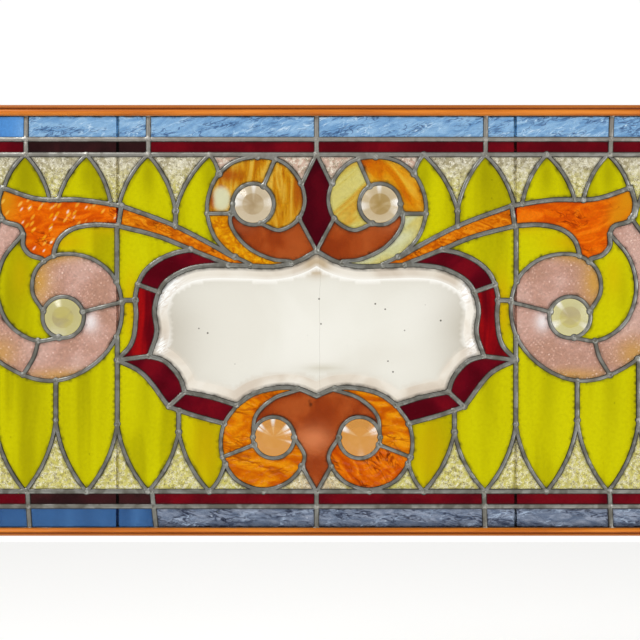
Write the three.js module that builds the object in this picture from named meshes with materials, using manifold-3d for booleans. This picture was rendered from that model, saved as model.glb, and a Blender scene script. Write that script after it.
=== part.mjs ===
// A leaded stained glass window panel in a thin wooden frame.
//
// Millimetres, +Z up. The front of the window looks along -Y, its middle is at X = 0, and the
// origin is in the middle of the flat underside of the bottom rail. The glass lies in the XZ
// plane. The pattern is symmetrical, so every line of the cartoon is drawn once, on the right.
//
// The lead is a union of ribbons that follow the cartoon. The panes are what is left of a sheet
// of glass when the same ribbons, a little wider, are cut out of it.

import * as THREE from 'three';
import { mergeVertices } from 'three/addons/utils/BufferGeometryUtils.js';
import Module from 'manifold-3d';

const wasm = await Module();
wasm.setup();

// ---- Driving dimensions -----------------------------------------------------------------------

const WIDTH = 1090;
const HEIGHT = 545;
const FRAME_DEPTH = 22;
const FACE = { top: 13, bottom: 9.5, side: 11 };

const CAME_WIDTH = 6.35;
const EDGE_CAME_WIDTH = 5;
const CAME_THICKNESS = 5.6;
const GLASS_THICKNESS = 3;
const GAP = 0.3;

// How far a chord may stray from the curve that it stands for.
const CHORD_ERROR = 1.2;
const FINE_STEPS = 12;

const BEVEL_PLATE_THICKNESS = 6.35;
const BEVEL_MARGIN = 14;
const JEWEL_THICKNESS = 6.35;
const JEWEL_FLAT_RADIUS = 13.5;
const RING_RADIUS = 26.2;
const RING_SIDES = 14;

const BAR_WIDTH = 3.2;
const BAR_DEPTH = 7.4;
const BAR_HOUSING = 5;
const BAR_X = [-253.4, 253.4];

// The sight edges are where the wood ends and the glass begins.
const SIGHT = { x: WIDTH / 2 - FACE.side, low: FACE.bottom, high: HEIGHT - FACE.top };

// Horizontal cames of the two borders, and the upright cames at their ends.
const BLUE_RED = { x: 506, low: 36.5, high: 502.3 };
const RED_FIELD = { x: 487, low: 55.4, high: 483 };
const DIVIDER_X = [0, 214, 370];
const MIDDLE_Z = 292;

// The petals stand a pitch apart, with their points on the border.
const PETAL_PITCH = 78;
const PETAL_COUNT = 5;
const FIRST_PETAL_X = 136;
const petalX = (k) => FIRST_PETAL_X + k * PETAL_PITCH;
const petalGapX = (k) => petalX(k) + PETAL_PITCH / 2;
const PETAL_BULGE = 0.075;
const LONG_ARC = 82;

// Panes of one colour that stand apart are one node, joined by necks of glass inside the cames.
const NECK_WIDTH = 2.5;
const NECK_FROM_BORDER = 2.9;

// ---- Solids -----------------------------------------------------------------------------------

function toSolid(geometry) {
  let bare = geometry.index ? geometry.toNonIndexed() : geometry.clone();
  bare.deleteAttribute('normal');
  bare.deleteAttribute('uv');
  bare = mergeVertices(bare, 1e-4);
  return new wasm.Manifold(new wasm.Mesh({
    numProp: 3,
    vertProperties: new Float32Array(bare.attributes.position.array),
    triVerts: new Uint32Array(bare.index.array),
  }));
}

function toGeometry(solid) {
  const mesh = solid.getMesh();
  const geometry = new THREE.BufferGeometry();
  geometry.setAttribute('position', new THREE.BufferAttribute(mesh.vertProperties, 3));
  geometry.setIndex(new THREE.BufferAttribute(mesh.triVerts, 1));
  geometry.computeVertexNormals();
  return geometry;
}

const union = (solids) => wasm.Manifold.union(solids);
const tidy = (solid) => solid.asOriginal().simplify(0.05);

// A flat outline in X and Z, made `thickness` deep and centred on the plane of the glass.
function slab(outline, thickness, hole) {
  const shape = new THREE.Shape(outline);
  if (hole) shape.holes.push(new THREE.Path(hole));
  const geometry = new THREE.ExtrudeGeometry(shape, { depth: thickness, bevelEnabled: false });
  geometry.rotateX(Math.PI / 2);
  geometry.translate(0, thickness / 2, 0);
  return toSolid(geometry);
}

function block(x0, x1, y0, y1, z0, z1) {
  const geometry = new THREE.BoxGeometry(x1 - x0, y1 - y0, z1 - z0);
  geometry.translate((x0 + x1) / 2, (y0 + y1) / 2, (z0 + z1) / 2);
  return toSolid(geometry);
}

// ---- Lines of the cartoon ---------------------------------------------------------------------

const point = (x, z) => new THREE.Vector2(x, z);
const points = (pairs) => pairs.map(([x, z]) => point(x, z));
const mirrored = (line) => line.map((p) => point(-p.x, p.y));

// A smooth curve through a few points, in chords that all stray from it by about CHORD_ERROR.
// A chord of length l that turns by an angle a strays by a * l / 8.
function smooth(pairs) {
  const through = pairs.map(([x, z]) => new THREE.Vector3(x, z, 0));
  const curve = new THREE.CatmullRomCurve3(through, false, 'centripetal');
  const fine = curve.getPoints((pairs.length - 1) * FINE_STEPS).map((p) => point(p.x, p.y));
  const reached = [0];
  for (let i = 1; i < fine.length; i += 1) {
    const chord = fine[i].clone().sub(fine[i - 1]);
    const next = fine[Math.min(i + 1, fine.length - 1)].clone().sub(fine[i]);
    const turn = next.length() > 0 ? Math.abs(Math.atan2(chord.cross(next), chord.dot(next))) : 0;
    reached.push(reached[i - 1] + Math.sqrt((turn * chord.length()) / (8 * CHORD_ERROR)));
  }
  const chords = Math.max(1, Math.round(reached[fine.length - 1]));
  const line = [fine[0]];
  for (let k = 1; k < chords; k += 1) {
    line.push(fine[reached.findIndex((r) => r >= (k * reached[fine.length - 1]) / chords)]);
  }
  return [...line, fine[fine.length - 1]];
}

// A flat arc from a to b that swells to the left by a share of its length.
function arc(a, b, bulge) {
  const start = point(...a);
  const along = point(...b).sub(start);
  const steps = along.length() > LONG_ARC ? 3 : 2;
  const left = point(-along.y, along.x).multiplyScalar(bulge);
  const line = [];
  for (let i = 0; i <= steps; i += 1) {
    const t = i / steps;
    line.push(start.clone().addScaledVector(along, t).addScaledVector(left, 4 * t * (1 - t)));
  }
  return line;
}

function ring(centre, radius, steps = RING_SIDES) {
  return Array.from({ length: steps }, (_, i) => {
    const angle = (2 * Math.PI * (i + 0.5)) / steps;
    return point(centre[0] + radius * Math.cos(angle), centre[1] + radius * Math.sin(angle));
  });
}

// Moves a line sideways to its left, each corner along its mitre.
function offset(line, distance, closed) {
  const count = line.length;
  return line.map((p, i) => {
    const before = line[closed ? (i + count - 1) % count : Math.max(i - 1, 0)];
    const after = line[closed ? (i + 1) % count : Math.min(i + 1, count - 1)];
    const into = p.clone().sub(before).normalize();
    const out = after.clone().sub(p).normalize();
    if (into.length() === 0) into.copy(out);
    if (out.length() === 0) out.copy(into);
    const mitre = point(-into.y - out.y, into.x + out.x).normalize();
    const stretch = 1 / Math.max(mitre.dot(point(-into.y, into.x)), 0.35);
    return p.clone().addScaledVector(mitre, distance * stretch);
  });
}

// One came: a strip of constant width along an open line, or round a closed one.
function ribbon(line, width, thickness, closed = false) {
  const turned = closed && THREE.ShapeUtils.isClockWise(line) ? [...line].reverse() : line;
  const left = offset(turned, width / 2, closed);
  const right = offset(turned, -width / 2, closed);
  if (closed) return slab(right, thickness, left);
  return slab([...left, ...right.reverse()], thickness);
}

const frameLine = (edge) => points([
  [-edge.x, edge.low], [edge.x, edge.low], [edge.x, edge.high], [-edge.x, edge.high],
]);

const grown = (edge, by) => ({ x: edge.x + by, low: edge.low - by, high: edge.high + by });

// The came round the edge of the panel is hidden in the groove of the frame, but for a thin line.
const EDGE_LINE = grown(SIGHT, 2);

// The cartouche, clockwise from the notch at the top centre: its right half.
const CARTOUCHE_TOP_NOTCH = [0, 360.8];
const CARTOUCHE_CUSP = [212.5, 227.1];
const CARTOUCHE_CORNER = [167.4, 181.7];
const CARTOUCHE_FOOT = [101.3, 164.6];
const CARTOUCHE_LOW_NOTCH = [0, 176.4];
const cartoucheHalf = [
  ...smooth([
    CARTOUCHE_TOP_NOTCH, [23.5, 347.8], [52, 341.2], [91.4, 342], [133.6, 342.5], [165, 337],
    [194.3, 318.6], [205.7, 288], [203.2, 257], CARTOUCHE_CUSP,
  ]),
  ...smooth([CARTOUCHE_CUSP, [193, 220.7], [174.2, 200.6], CARTOUCHE_CORNER]).slice(1),
  ...smooth([CARTOUCHE_CORNER, [132, 174.5], CARTOUCHE_FOOT]).slice(1),
  ...smooth([CARTOUCHE_FOOT, [80.6, 178.8], [49, 186.7], [22.9, 185.7], CARTOUCHE_LOW_NOTCH]).slice(1),
];
const cartouche = [...cartoucheHalf, ...mirrored(cartoucheHalf).reverse().slice(1, -1)];

// Ruby band round the cartouche.
const RUBY_CUSP = [252.7, 222.1];
const RUBY_CORNER = [187.6, 163];
const rubyBand = [
  smooth([
    [160, 362], [180, 358], [203, 347.5], [220, 331.8], [229.7, 306], [229.2, 275.4],
    [235, 243], RUBY_CUSP,
  ]),
  [
    ...smooth([RUBY_CUSP, [221.6, 205.6], RUBY_CORNER]),
    ...smooth([RUBY_CORNER, [157, 152.5], [119, 142]]).slice(1),
  ],
  points([[202.5, 309.3], [227.5, 318.3]]),
  points([CARTOUCHE_CUSP, RUBY_CUSP]),
  points([CARTOUCHE_CORNER, RUBY_CORNER]),
  points([[229.9, 298.2], [247.4, 298]]),
];

// Leaf and stem.
const LEAF_BASE_TOP = [247.8, 418];
const LEAF_BASE_LOW = [251.6, 392.4];
const LEAF_TIP = [399.4, 441.2];
const leafAndStem = [
  smooth([[104, 352], [139.7, 372.2], [184.2, 394.4], LEAF_BASE_TOP]),
  smooth([[112, 343.5], [154.9, 360.5], [200, 379], LEAF_BASE_LOW]),
  points([LEAF_BASE_TOP, LEAF_BASE_LOW]),
  [
    ...smooth([LEAF_BASE_TOP, [300, 425.5], [355, 427], LEAF_TIP]),
    ...smooth([
      LEAF_TIP, [404.4, 419], [398, 399.5], [377, 391.5], [371.8, 381], [371.3, 366],
      [347.5, 349.5],
    ]).slice(1),
  ],
  smooth([LEAF_BASE_LOW, [284, 393.8], [318, 383.2], [332, 364], [342, 350]]),
];

// Side scroll with its jewel, the yellow crescent round it and the pink band round that.
const SIDE_JEWEL = [321.7, 276.5];
const sideScroll = [
  smooth([
    [347, 284], [360.5, 308], [357, 335], [338, 352.5], [314, 356.9], [284, 350.3],
    [258, 328.5], [247, 294], [253, 254], [278, 220.5], [318, 198.5], [353, 197.2],
    [397.5, 216.6], [430, 247.5], [444, 292], [438, 344], [401.3, 400.5],
  ]),
  smooth([
    [373, 382], [398, 349.6], [405.8, 310], [391, 268.6], [357, 247], [327, 250.5],
  ]),
  points([[353.6, 245], [359, 226], [372.4, 203.5]]),
  points([[296.5, 283.5], [247, 295.8]]),
];

// Top circle with its jewel.
const TOP_JEWEL = [80.4, 420];
const topCircle = [
  smooth([
    [71, 395.5], [47, 387], [23, 401], [14.9, 424.7], [22.5, 452], [44, 474],
    [75, 480], [106, 473], [129, 451], [139.1, 416], [131, 381.5], [110, 357.5], [84, 344],
  ]),
  smooth([[106.5, 421], [109, 395], [89, 367], [57, 350.5], [33, 347.5]]),
  points([[53, 476.5], [67.5, 443]]),
  points([[106.5, 408.1], [139, 408.1]]),
  points([[0, 482], [17.6, 447.5]]),
  points([[22, 401.6], [0, 364]]),
];

// Bottom scroll with its jewel, and the side of the heart below it.
const BOTTOM_JEWEL = [54.6, 123.7];
const bottomScroll = [
  smooth([
    CARTOUCHE_FOOT, [117.9, 139.6], [120.5, 104], [102, 70.5], [67.3, 57.8], [34, 69],
    [15.2, 98], [29, 125],
  ]),
  smooth([[24, 184], [54, 173.5], [77, 151.5], [80.8, 124]]),
  points([[79.5, 114.5], [120, 98.6]]),
  points([[18.3, 87], [0, 56.5]]),
];

// Top petals: each gap between two petals ends on the stem or on the leaf.
const TOP_FORK = [179, 411.3];
const topFeet = [
  [[124.4, 459], TOP_FORK],
  [TOP_FORK, [250.6, 419.5]],
  [[261.4, 421], [327.7, 426]],
  [[339, 426], [396.8, 440.5]],
  [[404.5, 404.5], [RED_FIELD.x, 403]],
];
// Bottom petals: each gap ends in a fork, from which an upright came rises.
const BOTTOM_FORK_Z = [131, 141, 146, 146];
const BOTTOM_STEM_TOP = [155.5, 251, 196.5, 222];
const bottomFeet = Array.from({ length: PETAL_COUNT }, (_, k) => [
  k === 0 ? [117, 90] : [petalGapX(k - 1), BOTTOM_FORK_Z[k - 1]],
  k === PETAL_COUNT - 1 ? [RED_FIELD.x, 146] : [petalGapX(k), BOTTOM_FORK_Z[k]],
]);
const petals = [];
for (let k = 0; k < PETAL_COUNT; k += 1) {
  const top = [petalX(k), RED_FIELD.high];
  const bottom = [petalX(k), RED_FIELD.low];
  petals.push(arc(topFeet[k][0], top, PETAL_BULGE));
  petals.push(arc(top, topFeet[k][1], PETAL_BULGE));
  petals.push(arc(bottom, bottomFeet[k][0], PETAL_BULGE));
  petals.push(arc(bottomFeet[k][1], bottom, PETAL_BULGE));
}
const uprights = [
  points([TOP_FORK, [TOP_FORK[0], 391.5]]),
  ...BOTTOM_FORK_Z.map((z, k) => points([[petalGapX(k), z], [petalGapX(k), BOTTOM_STEM_TOP[k]]])),
  points([[BAR_X[1], 393], [BAR_X[1], 322]]),
];

const borderDividers = [
  ...DIVIDER_X.flatMap((x) => [
    points([[x, EDGE_LINE.low], [x, RED_FIELD.low]]),
    points([[x, RED_FIELD.high], [x, EDGE_LINE.high]]),
  ]),
  points([[444, MIDDLE_Z], [EDGE_LINE.x, MIDDLE_Z]]),
  ...[[BLUE_RED, EDGE_LINE], [RED_FIELD, BLUE_RED]].flatMap(([inner, outer]) => [
    points([[inner.x, inner.low], [outer.x, inner.low]]),
    points([[inner.x, inner.high], [outer.x, inner.high]]),
  ]),
];

const openLines = [
  ...rubyBand, ...leafAndStem, ...sideScroll, ...topCircle, ...bottomScroll, ...petals,
  ...uprights, ...borderDividers,
].flatMap((line) => [line, mirrored(line)]);
const JEWELS = { top: TOP_JEWEL, side: SIDE_JEWEL, bottom: BOTTOM_JEWEL };
const jewelRings = Object.values(JEWELS).map((centre) => ring(centre, RING_RADIUS));
const closedLines = [
  cartouche,
  frameLine(BLUE_RED),
  frameLine(RED_FIELD),
  ...jewelRings.flatMap((line) => [line, mirrored(line)]),
];

// All cames as one flat net, each came wider by `clearance` on both sides.
function cameNet(clearance, thickness) {
  const width = CAME_WIDTH + 2 * clearance;
  return union([
    ...openLines.map((line) => ribbon(line, width, thickness)),
    ...closedLines.map((line) => ribbon(line, width, thickness, true)),
    ribbon(frameLine(EDGE_LINE), EDGE_CAME_WIDTH + 2 * clearance, thickness, true),
  ]);
}

// ---- Colours ----------------------------------------------------------------------------------

const glass = (color) => new THREE.MeshStandardMaterial({ color, roughness: 0.1, metalness: 0 });
const MATERIAL = {
  lead: new THREE.MeshStandardMaterial({ color: 0x82827a, roughness: 0.5, metalness: 0.6 }),
  wood: new THREE.MeshStandardMaterial({ color: 0xc8732d, roughness: 0.45, metalness: 0 }),
  steel: new THREE.MeshStandardMaterial({ color: 0x6d6a66, roughness: 0.5, metalness: 0.8 }),
  bevel: glass(0xeeece1),
  jewel: glass(0xd9c98c),
  blue: glass(0x7daad7),
  red: glass(0x69121c),
  ruby: glass(0x78141e),
  clear: glass(0xe1d7b9),
  yellow: glass(0xc3be0a),
  orange: glass(0xe15f05),
  amber: glass(0xd78c14),
  opal: glass(0xd9d29a),
  copper: glass(0xa0461e),
  pink: glass(0xc89b8c),
};

// ---- Panes ------------------------------------------------------------------------------------

// Each name has a spot inside the pane, on the right of the window.
const SIDE_PANES = {
  top_scroll_inner_crescent: [[33, 430], MATERIAL.opal],
  top_scroll_outer_crescent: [[115, 445], MATERIAL.amber],
  top_scroll_lower_crescent: [[125, 385], MATERIAL.opal],
  top_scroll_copper_pane: [[60, 372], MATERIAL.copper],
  bottom_scroll_upper_crescent: [[100, 135], MATERIAL.amber],
  bottom_scroll_lower_crescent: [[60, 78], MATERIAL.amber],
  acanthus_leaf: [[320, 408], MATERIAL.orange],
  leaf_stem: [[190, 386], MATERIAL.amber],
  side_scroll_inner_pane: [[300, 325], MATERIAL.pink],
  side_scroll_lower_pane: [[290, 240], MATERIAL.pink],
  side_scroll_outer_pane: [[425, 300], MATERIAL.pink],
  yellow_crescent: [[386, 300], MATERIAL.yellow],
  ruby_top_pane: [[185, 343], MATERIAL.ruby],
  ruby_side_pane: [[217, 275], MATERIAL.ruby],
  ruby_shoulder_pane: [[206, 200], MATERIAL.ruby],
  ruby_foot_pane: [[144, 162], MATERIAL.ruby],
};
const CENTRE_PANES = {
  ruby_diamond: [[0, 430], MATERIAL.ruby],
  copper_heart: [[0, 140], MATERIAL.copper],
};

// Groups of panes of one glass: a spot in each pane, and the course of each neck between two.
const petalSpots = (z) => Array.from({ length: PETAL_COUNT }, (_, k) => [petalX(k), z]);
const gapSpots = (z) => Array.from({ length: PETAL_COUNT - 1 }, (_, k) => [petalGapX(k), z]);
const UPRIGHT_NECK_Z = [147, 190, 172, 185];
const across = ([x, z]) => points([[x - 5, z], [x + 5, z]]);
const upward = ([x, z]) => points([[x, z - 5], [x, z + 5]]);
const SIDE_GROUPS = {
  yellow_petals_above: {
    material: MATERIAL.yellow,
    spots: petalSpots(457).slice(0, PETAL_COUNT - 1),
    necks: [
      across([TOP_FORK[0], 401]),
      points([[242, 421.5], [249, 418.6], [262, 420.6], [269, 426.5]]),
      points([[320, 431], [327, 426.4], [340, 426.6], [346.5, 431.5]]),
    ],
  },
  yellow_petals_below: {
    material: MATERIAL.yellow,
    spots: [...petalSpots(100), [petalX(PETAL_COUNT - 1), 420]],
    necks: [
      ...UPRIGHT_NECK_Z.map((z, k) => across([petalGapX(k), z])),
      upward([465, MIDDLE_Z]),
    ],
  },
  yellow_behind_leaf: {
    material: MATERIAL.yellow,
    spots: [[235, 360], [290, 375], [240, 270]],
    necks: [across([BAR_X[1], 360]), upward([238.5, 298])],
  },
};
const borderNeck = (z) => points([[-RED_FIELD.x + 10, z], [RED_FIELD.x - 10, z]]);
const bothSides = (spots) => spots.flatMap(([x, z]) => [[x, z], [-x, z]]);
const CENTRE_GROUPS = {
  clear_panes_above: {
    material: MATERIAL.clear,
    spots: bothSides([[22, 472], [115, 473], ...gapSpots(460), [475, 470]]),
    necks: [borderNeck(RED_FIELD.high - NECK_FROM_BORDER)],
  },
  clear_panes_below: {
    material: MATERIAL.clear,
    spots: bothSides([[25, 68], [112, 66], ...gapSpots(90), [478, 75]]),
    necks: [borderNeck(RED_FIELD.low + NECK_FROM_BORDER)],
  },
};

const field = slab(frameLine(RED_FIELD), GLASS_THICKNESS);
const loosePanes = tidy(field.subtract(cameNet(GAP, 2 * CAME_THICKNESS))).decompose();

// The loose pane that holds a spot.
function paneAt([x, z]) {
  const probe = block(x - 0.5, x + 0.5, -0.5, 0.5, z - 0.5, z + 0.5);
  return loosePanes.find((pane) => {
    const { min, max } = pane.boundingBox();
    const inBox = min[0] < x && max[0] > x && min[2] < z && max[2] > z;
    return inBox && pane.intersect(probe).volume() > 0;
  });
}

const fused = ({ spots, necks }) => tidy(union([
  ...spots.map(paneAt),
  ...necks.map((line) => ribbon(line, NECK_WIDTH, GLASS_THICKNESS)),
]));

// The strips of one border are joined behind their dividers, which are open there at the back.
function borderStrip(inner, outer, clearance, thickness) {
  const [inside, outside] = [frameLine(grown(inner, -clearance)), frameLine(grown(outer, clearance))];
  return slab(outside, thickness, inside);
}
const edgeOf = (line, cameWidth, side) => grown(line, side * (cameWidth / 2 + GAP));
const BORDERS = {
  blue_border_glass: {
    material: MATERIAL.blue,
    inner: edgeOf(BLUE_RED, CAME_WIDTH, 1),
    outer: edgeOf(EDGE_LINE, EDGE_CAME_WIDTH, -1),
  },
  red_border_glass: {
    material: MATERIAL.red,
    inner: edgeOf(RED_FIELD, CAME_WIDTH, 1),
    outer: edgeOf(BLUE_RED, CAME_WIDTH, -1),
  },
};

// The thick plate in the middle: flat behind, with a wide bevel all round its front.
function bevelPlate() {
  const rise = BEVEL_PLATE_THICKNESS - GLASS_THICKNESS;
  const geometry = new THREE.ExtrudeGeometry(new THREE.Shape(cartouche), {
    depth: GLASS_THICKNESS,
    bevelSegments: 1,
    bevelThickness: rise,
    bevelSize: BEVEL_MARGIN,
    bevelOffset: -BEVEL_MARGIN - CAME_WIDTH / 2 - GAP,
  });
  geometry.rotateX(Math.PI / 2);
  geometry.translate(0, GLASS_THICKNESS / 2, 0);
  const front = block(-WIDTH, WIDTH, -FRAME_DEPTH, GLASS_THICKNESS / 2, 0, HEIGHT);
  return toSolid(geometry).intersect(front);
}

// A round jewel: flat behind, with a bevel round a flat front.
function jewel([x, z]) {
  const radius = RING_RADIUS - CAME_WIDTH / 2 - GAP;
  const back = GLASS_THICKNESS / 2;
  const front = back - JEWEL_THICKNESS;
  const geometry = new THREE.LatheGeometry(points([
    [0, front], [JEWEL_FLAT_RADIUS, front], [radius, -back], [radius, back], [0, back],
  ]), RING_SIDES);
  geometry.translate(x, 0, z);
  return toSolid(geometry);
}

// ---- Frame and bars ---------------------------------------------------------------------------

// Section of a frame member. The first number goes from 0 at the outside of the frame to 1 at the
// sight edge, the second from front to back. Two soft reeds with a quirk between them, and a
// groove that holds the panel.
const GROOVE_BOTTOM = 0.5;
const GROOVE_HALF = CAME_THICKNESS / 2 + GAP;
const BACK = FRAME_DEPTH / 2;
const SECTION = points([
  [0, -8.6], [0.06, -10.4], [0.2, -BACK], [0.32, -10.3], [0.38, -9], [0.44, -9],
  [0.52, -10.1], [0.72, -10.1], [0.92, -8.4], [1, -6.2], [1, -GROOVE_HALF],
  [GROOVE_BOTTOM, -GROOVE_HALF], [GROOVE_BOTTOM, GROOVE_HALF], [1, GROOVE_HALF], [1, BACK], [0, BACK],
]);
const mix = (from, to, t) => from + (to - from) * t;

// A member runs from one mitre to the other; `place` turns section and length into X and Z.
function frameMember(place) {
  const geometry = new THREE.ExtrudeGeometry(new THREE.Shape(SECTION), {
    depth: 1,
    bevelEnabled: false,
  });
  const { position } = geometry.attributes;
  for (let i = 0; i < position.count; i += 1) {
    const [x, z] = place(position.getX(i), position.getZ(i));
    position.setXYZ(i, x, position.getY(i), z);
  }
  return toSolid(geometry);
}
const leftEdge = (s) => -WIDTH / 2 + s * FACE.side;
const lowEdge = (s) => s * FACE.bottom;
const highEdge = (s) => HEIGHT - s * FACE.top;
const railX = (s, t) => mix(leftEdge(s) + GAP, -leftEdge(s) - GAP, t);
const stileZ = (s, t) => mix(lowEdge(s), highEdge(s), t);
const MEMBERS = {
  frame_top_rail: (s, t) => [railX(s, t), highEdge(s)],
  frame_bottom_rail: (s, t) => [railX(s, 1 - t), lowEdge(s)],
  frame_left_stile: (s, t) => [leftEdge(s), stileZ(s, t)],
  frame_right_stile: (s, t) => [-leftEdge(s), stileZ(s, 1 - t)],
};

// A flat steel bar on edge, right behind the lead, let into the back of both rails.
function supportBar(x, clearance = 0) {
  return block(
    x - BAR_WIDTH / 2 - clearance,
    x + BAR_WIDTH / 2 + clearance,
    GROOVE_HALF - clearance,
    GROOVE_HALF + BAR_DEPTH + 4 * clearance,
    SIGHT.low - BAR_HOUSING - clearance,
    SIGHT.high + BAR_HOUSING + clearance,
  );
}
const barHousings = union(BAR_X.map((x) => supportBar(x, GAP)));

// ---- The window -------------------------------------------------------------------------------

const window = new THREE.Group();

function add(name, solid, material) {
  const mesh = new THREE.Mesh(toGeometry(solid), material);
  mesh.name = name;
  window.add(mesh);
}

const SIDES = { left: -1, right: 1 };
const slots = [];

for (const [name, { material, inner, outer }] of Object.entries(BORDERS)) {
  add(name, borderStrip(inner, outer, 0, GLASS_THICKNESS), material);
  const deepSlot = borderStrip(inner, outer, GAP, 2 * CAME_THICKNESS);
  slots.push(deepSlot.translate([0, CAME_THICKNESS - GLASS_THICKNESS / 2 - GAP, 0]));
}

function addGroup(name, group) {
  add(name, fused(group), group.material);
  slots.push(...group.necks.map((line) => (
    ribbon(line, NECK_WIDTH + 2 * GAP, GLASS_THICKNESS + 2 * GAP)
  )));
}

for (const [side, sign] of Object.entries(SIDES)) {
  const here = ([x, z]) => [sign * x, z];
  for (const [name, [spot, material]] of Object.entries(SIDE_PANES)) {
    add(`${name}_${side}`, paneAt(here(spot)), material);
  }
  for (const [name, centre] of Object.entries(JEWELS)) {
    add(`${name}_jewel_${side}`, jewel(here(centre)), MATERIAL.jewel);
  }
  for (const [name, group] of Object.entries(SIDE_GROUPS)) {
    const necks = sign > 0 ? group.necks : group.necks.map(mirrored);
    addGroup(`${name}_${side}`, { ...group, necks, spots: group.spots.map(here) });
  }
}
for (const [name, [spot, material]] of Object.entries(CENTRE_PANES)) {
  add(name, paneAt(spot), material);
}
for (const [name, group] of Object.entries(CENTRE_GROUPS)) {
  addGroup(name, group);
}
add('centre_bevel_plate', bevelPlate(), MATERIAL.bevel);
add('lead_came_net', tidy(cameNet(0, CAME_THICKNESS).subtract(union(slots))), MATERIAL.lead);

for (const [name, place] of Object.entries(MEMBERS)) {
  add(name, tidy(frameMember(place).subtract(barHousings)), MATERIAL.wood);
}
const BAR_NAMES = ['support_bar_left', 'support_bar_right'];
BAR_NAMES.forEach((name, i) => add(name, supportBar(BAR_X[i]), MATERIAL.steel));

export default window;
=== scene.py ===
# %% [markdown]
# # A leaded stained glass window
#
# The real window is a net of lead cames round 127 panes of coloured glass. The cames are soldered
# where they meet. The panel sits in the groove of a thin wooden frame, and two flat steel bars behind
# it keep it from bowing.
#
# A plain model of the window already exists, with every piece at its real size and place. This
# lesson makes each piece again with its real surface, in metres, and lets it stand for the plain
# one. First the plain model is loaded, and the box of each of its parts can be read from it.

import bpy
import numpy as np
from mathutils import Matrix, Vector
from mathutils.geometry import delaunay_2d_cdt


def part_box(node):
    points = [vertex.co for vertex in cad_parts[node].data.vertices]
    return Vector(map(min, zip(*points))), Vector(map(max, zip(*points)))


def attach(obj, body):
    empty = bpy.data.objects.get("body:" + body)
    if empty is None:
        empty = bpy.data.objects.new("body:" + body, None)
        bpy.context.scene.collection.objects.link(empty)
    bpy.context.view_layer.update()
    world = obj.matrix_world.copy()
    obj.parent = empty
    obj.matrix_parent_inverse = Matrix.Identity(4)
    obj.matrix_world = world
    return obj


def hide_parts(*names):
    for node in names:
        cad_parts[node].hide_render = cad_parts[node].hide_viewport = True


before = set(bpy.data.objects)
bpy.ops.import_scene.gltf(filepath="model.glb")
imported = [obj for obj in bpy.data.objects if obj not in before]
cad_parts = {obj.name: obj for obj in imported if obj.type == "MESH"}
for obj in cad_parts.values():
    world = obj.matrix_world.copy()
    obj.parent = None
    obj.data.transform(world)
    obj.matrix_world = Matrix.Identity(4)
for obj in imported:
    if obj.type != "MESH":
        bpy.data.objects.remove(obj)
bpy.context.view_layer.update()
MM = 0.001

# %% [markdown]
# ## Camera, light and floor
#
# Stained glass is seen against the light, so the room is a pale even sky on all sides, and the
# colours come from what passes through the panes. The lead and the wood would look flat in such a
# room, and a bright sky in front would lie as a veil on the dark glass. So rays that light a
# surface meet a dimmer sky than rays that are looked along or pass through glass, and it is
# dimmest in front. Two large soft lamps there add the missing direction.

# %% Camera, square on to the window
LENS = 85
SENSOR = 36
VIEW_WIDTH = 0.813
VIEW_X = 0.0044
VIEW_Z = 0.273

camera = bpy.data.objects.new("camera", bpy.data.cameras.new("camera"))
camera.data.lens = LENS
camera.data.sensor_width = SENSOR
camera.location = (VIEW_X, -VIEW_WIDTH * LENS / SENSOR, VIEW_Z)
camera.rotation_euler = (np.pi / 2, 0, 0)
bpy.context.scene.collection.objects.link(camera)
bpy.context.scene.camera = camera
bpy.context.scene.view_settings.view_transform = "Standard"

# %% Shader nodes are made by short helpers
def feed(tree, socket, value):
    """Gives an input its value: a plain one, or the output of another node."""
    if isinstance(value, bpy.types.NodeSocket):
        tree.links.new(value, socket)
    else:
        socket.default_value = value


def node(tree, kind, **values):
    """Adds a shader node. A value with a small name is set on the node itself, and one with a
    capital is fed to its input of that name."""
    made = tree.nodes.new("ShaderNode" + kind)
    for key, value in values.items():
        if key[0].isupper():
            feed(tree, made.inputs[key.replace("_", " ")], value)
        else:
            setattr(made, key, value)
    return made


def calc(tree, operation, a, b=0.0, clamp=False):
    """One sum with two values or sockets."""
    made = node(tree, "Math", operation=operation, use_clamp=clamp)
    feed(tree, made.inputs[0], a)
    feed(tree, made.inputs[1], b)
    return made.outputs[0]


def span(tree, value, low, high, to_low=0.0, to_high=1.0, kind="SMOOTHSTEP"):
    """A value stretched so that low..high becomes to_low..to_high, and held there."""
    made = node(tree, "MapRange", interpolation_type=kind, Value=value, From_Min=low, From_Max=high,
                To_Min=to_low, To_Max=to_high)
    return made.outputs[0]


# %% A pale sky, dimmer for the rays that light the window, most of all in front
SKY = (1.0, 0.995, 0.985, 1)
SEEN_STRENGTH = 1.02
LIGHT_BEHIND = 0.6
LIGHT_IN_FRONT = 0.2
SKY_EDGE = 0.4

world = bpy.data.worlds.new("room")
bpy.context.scene.world = world
world.use_nodes = True
sky = world.node_tree
sky.nodes.clear()
path = node(sky, "LightPath").outputs
looked_through = calc(sky, "MAXIMUM", path["Is Camera Ray"], path["Is Transmission Ray"])
towards = node(sky, "SeparateXYZ", Vector=node(sky, "TexCoord").outputs["Generated"]).outputs["Y"]
lighting = span(sky, towards, -SKY_EDGE, SKY_EDGE, LIGHT_IN_FRONT, LIGHT_BEHIND, "LINEAR")
strength = span(sky, looked_through, 0.0, 1.0, lighting, SEEN_STRENGTH, "LINEAR")
background = node(sky, "Background", Color=SKY, Strength=strength)
node(sky, "OutputWorld", Surface=background.outputs[0])


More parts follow.
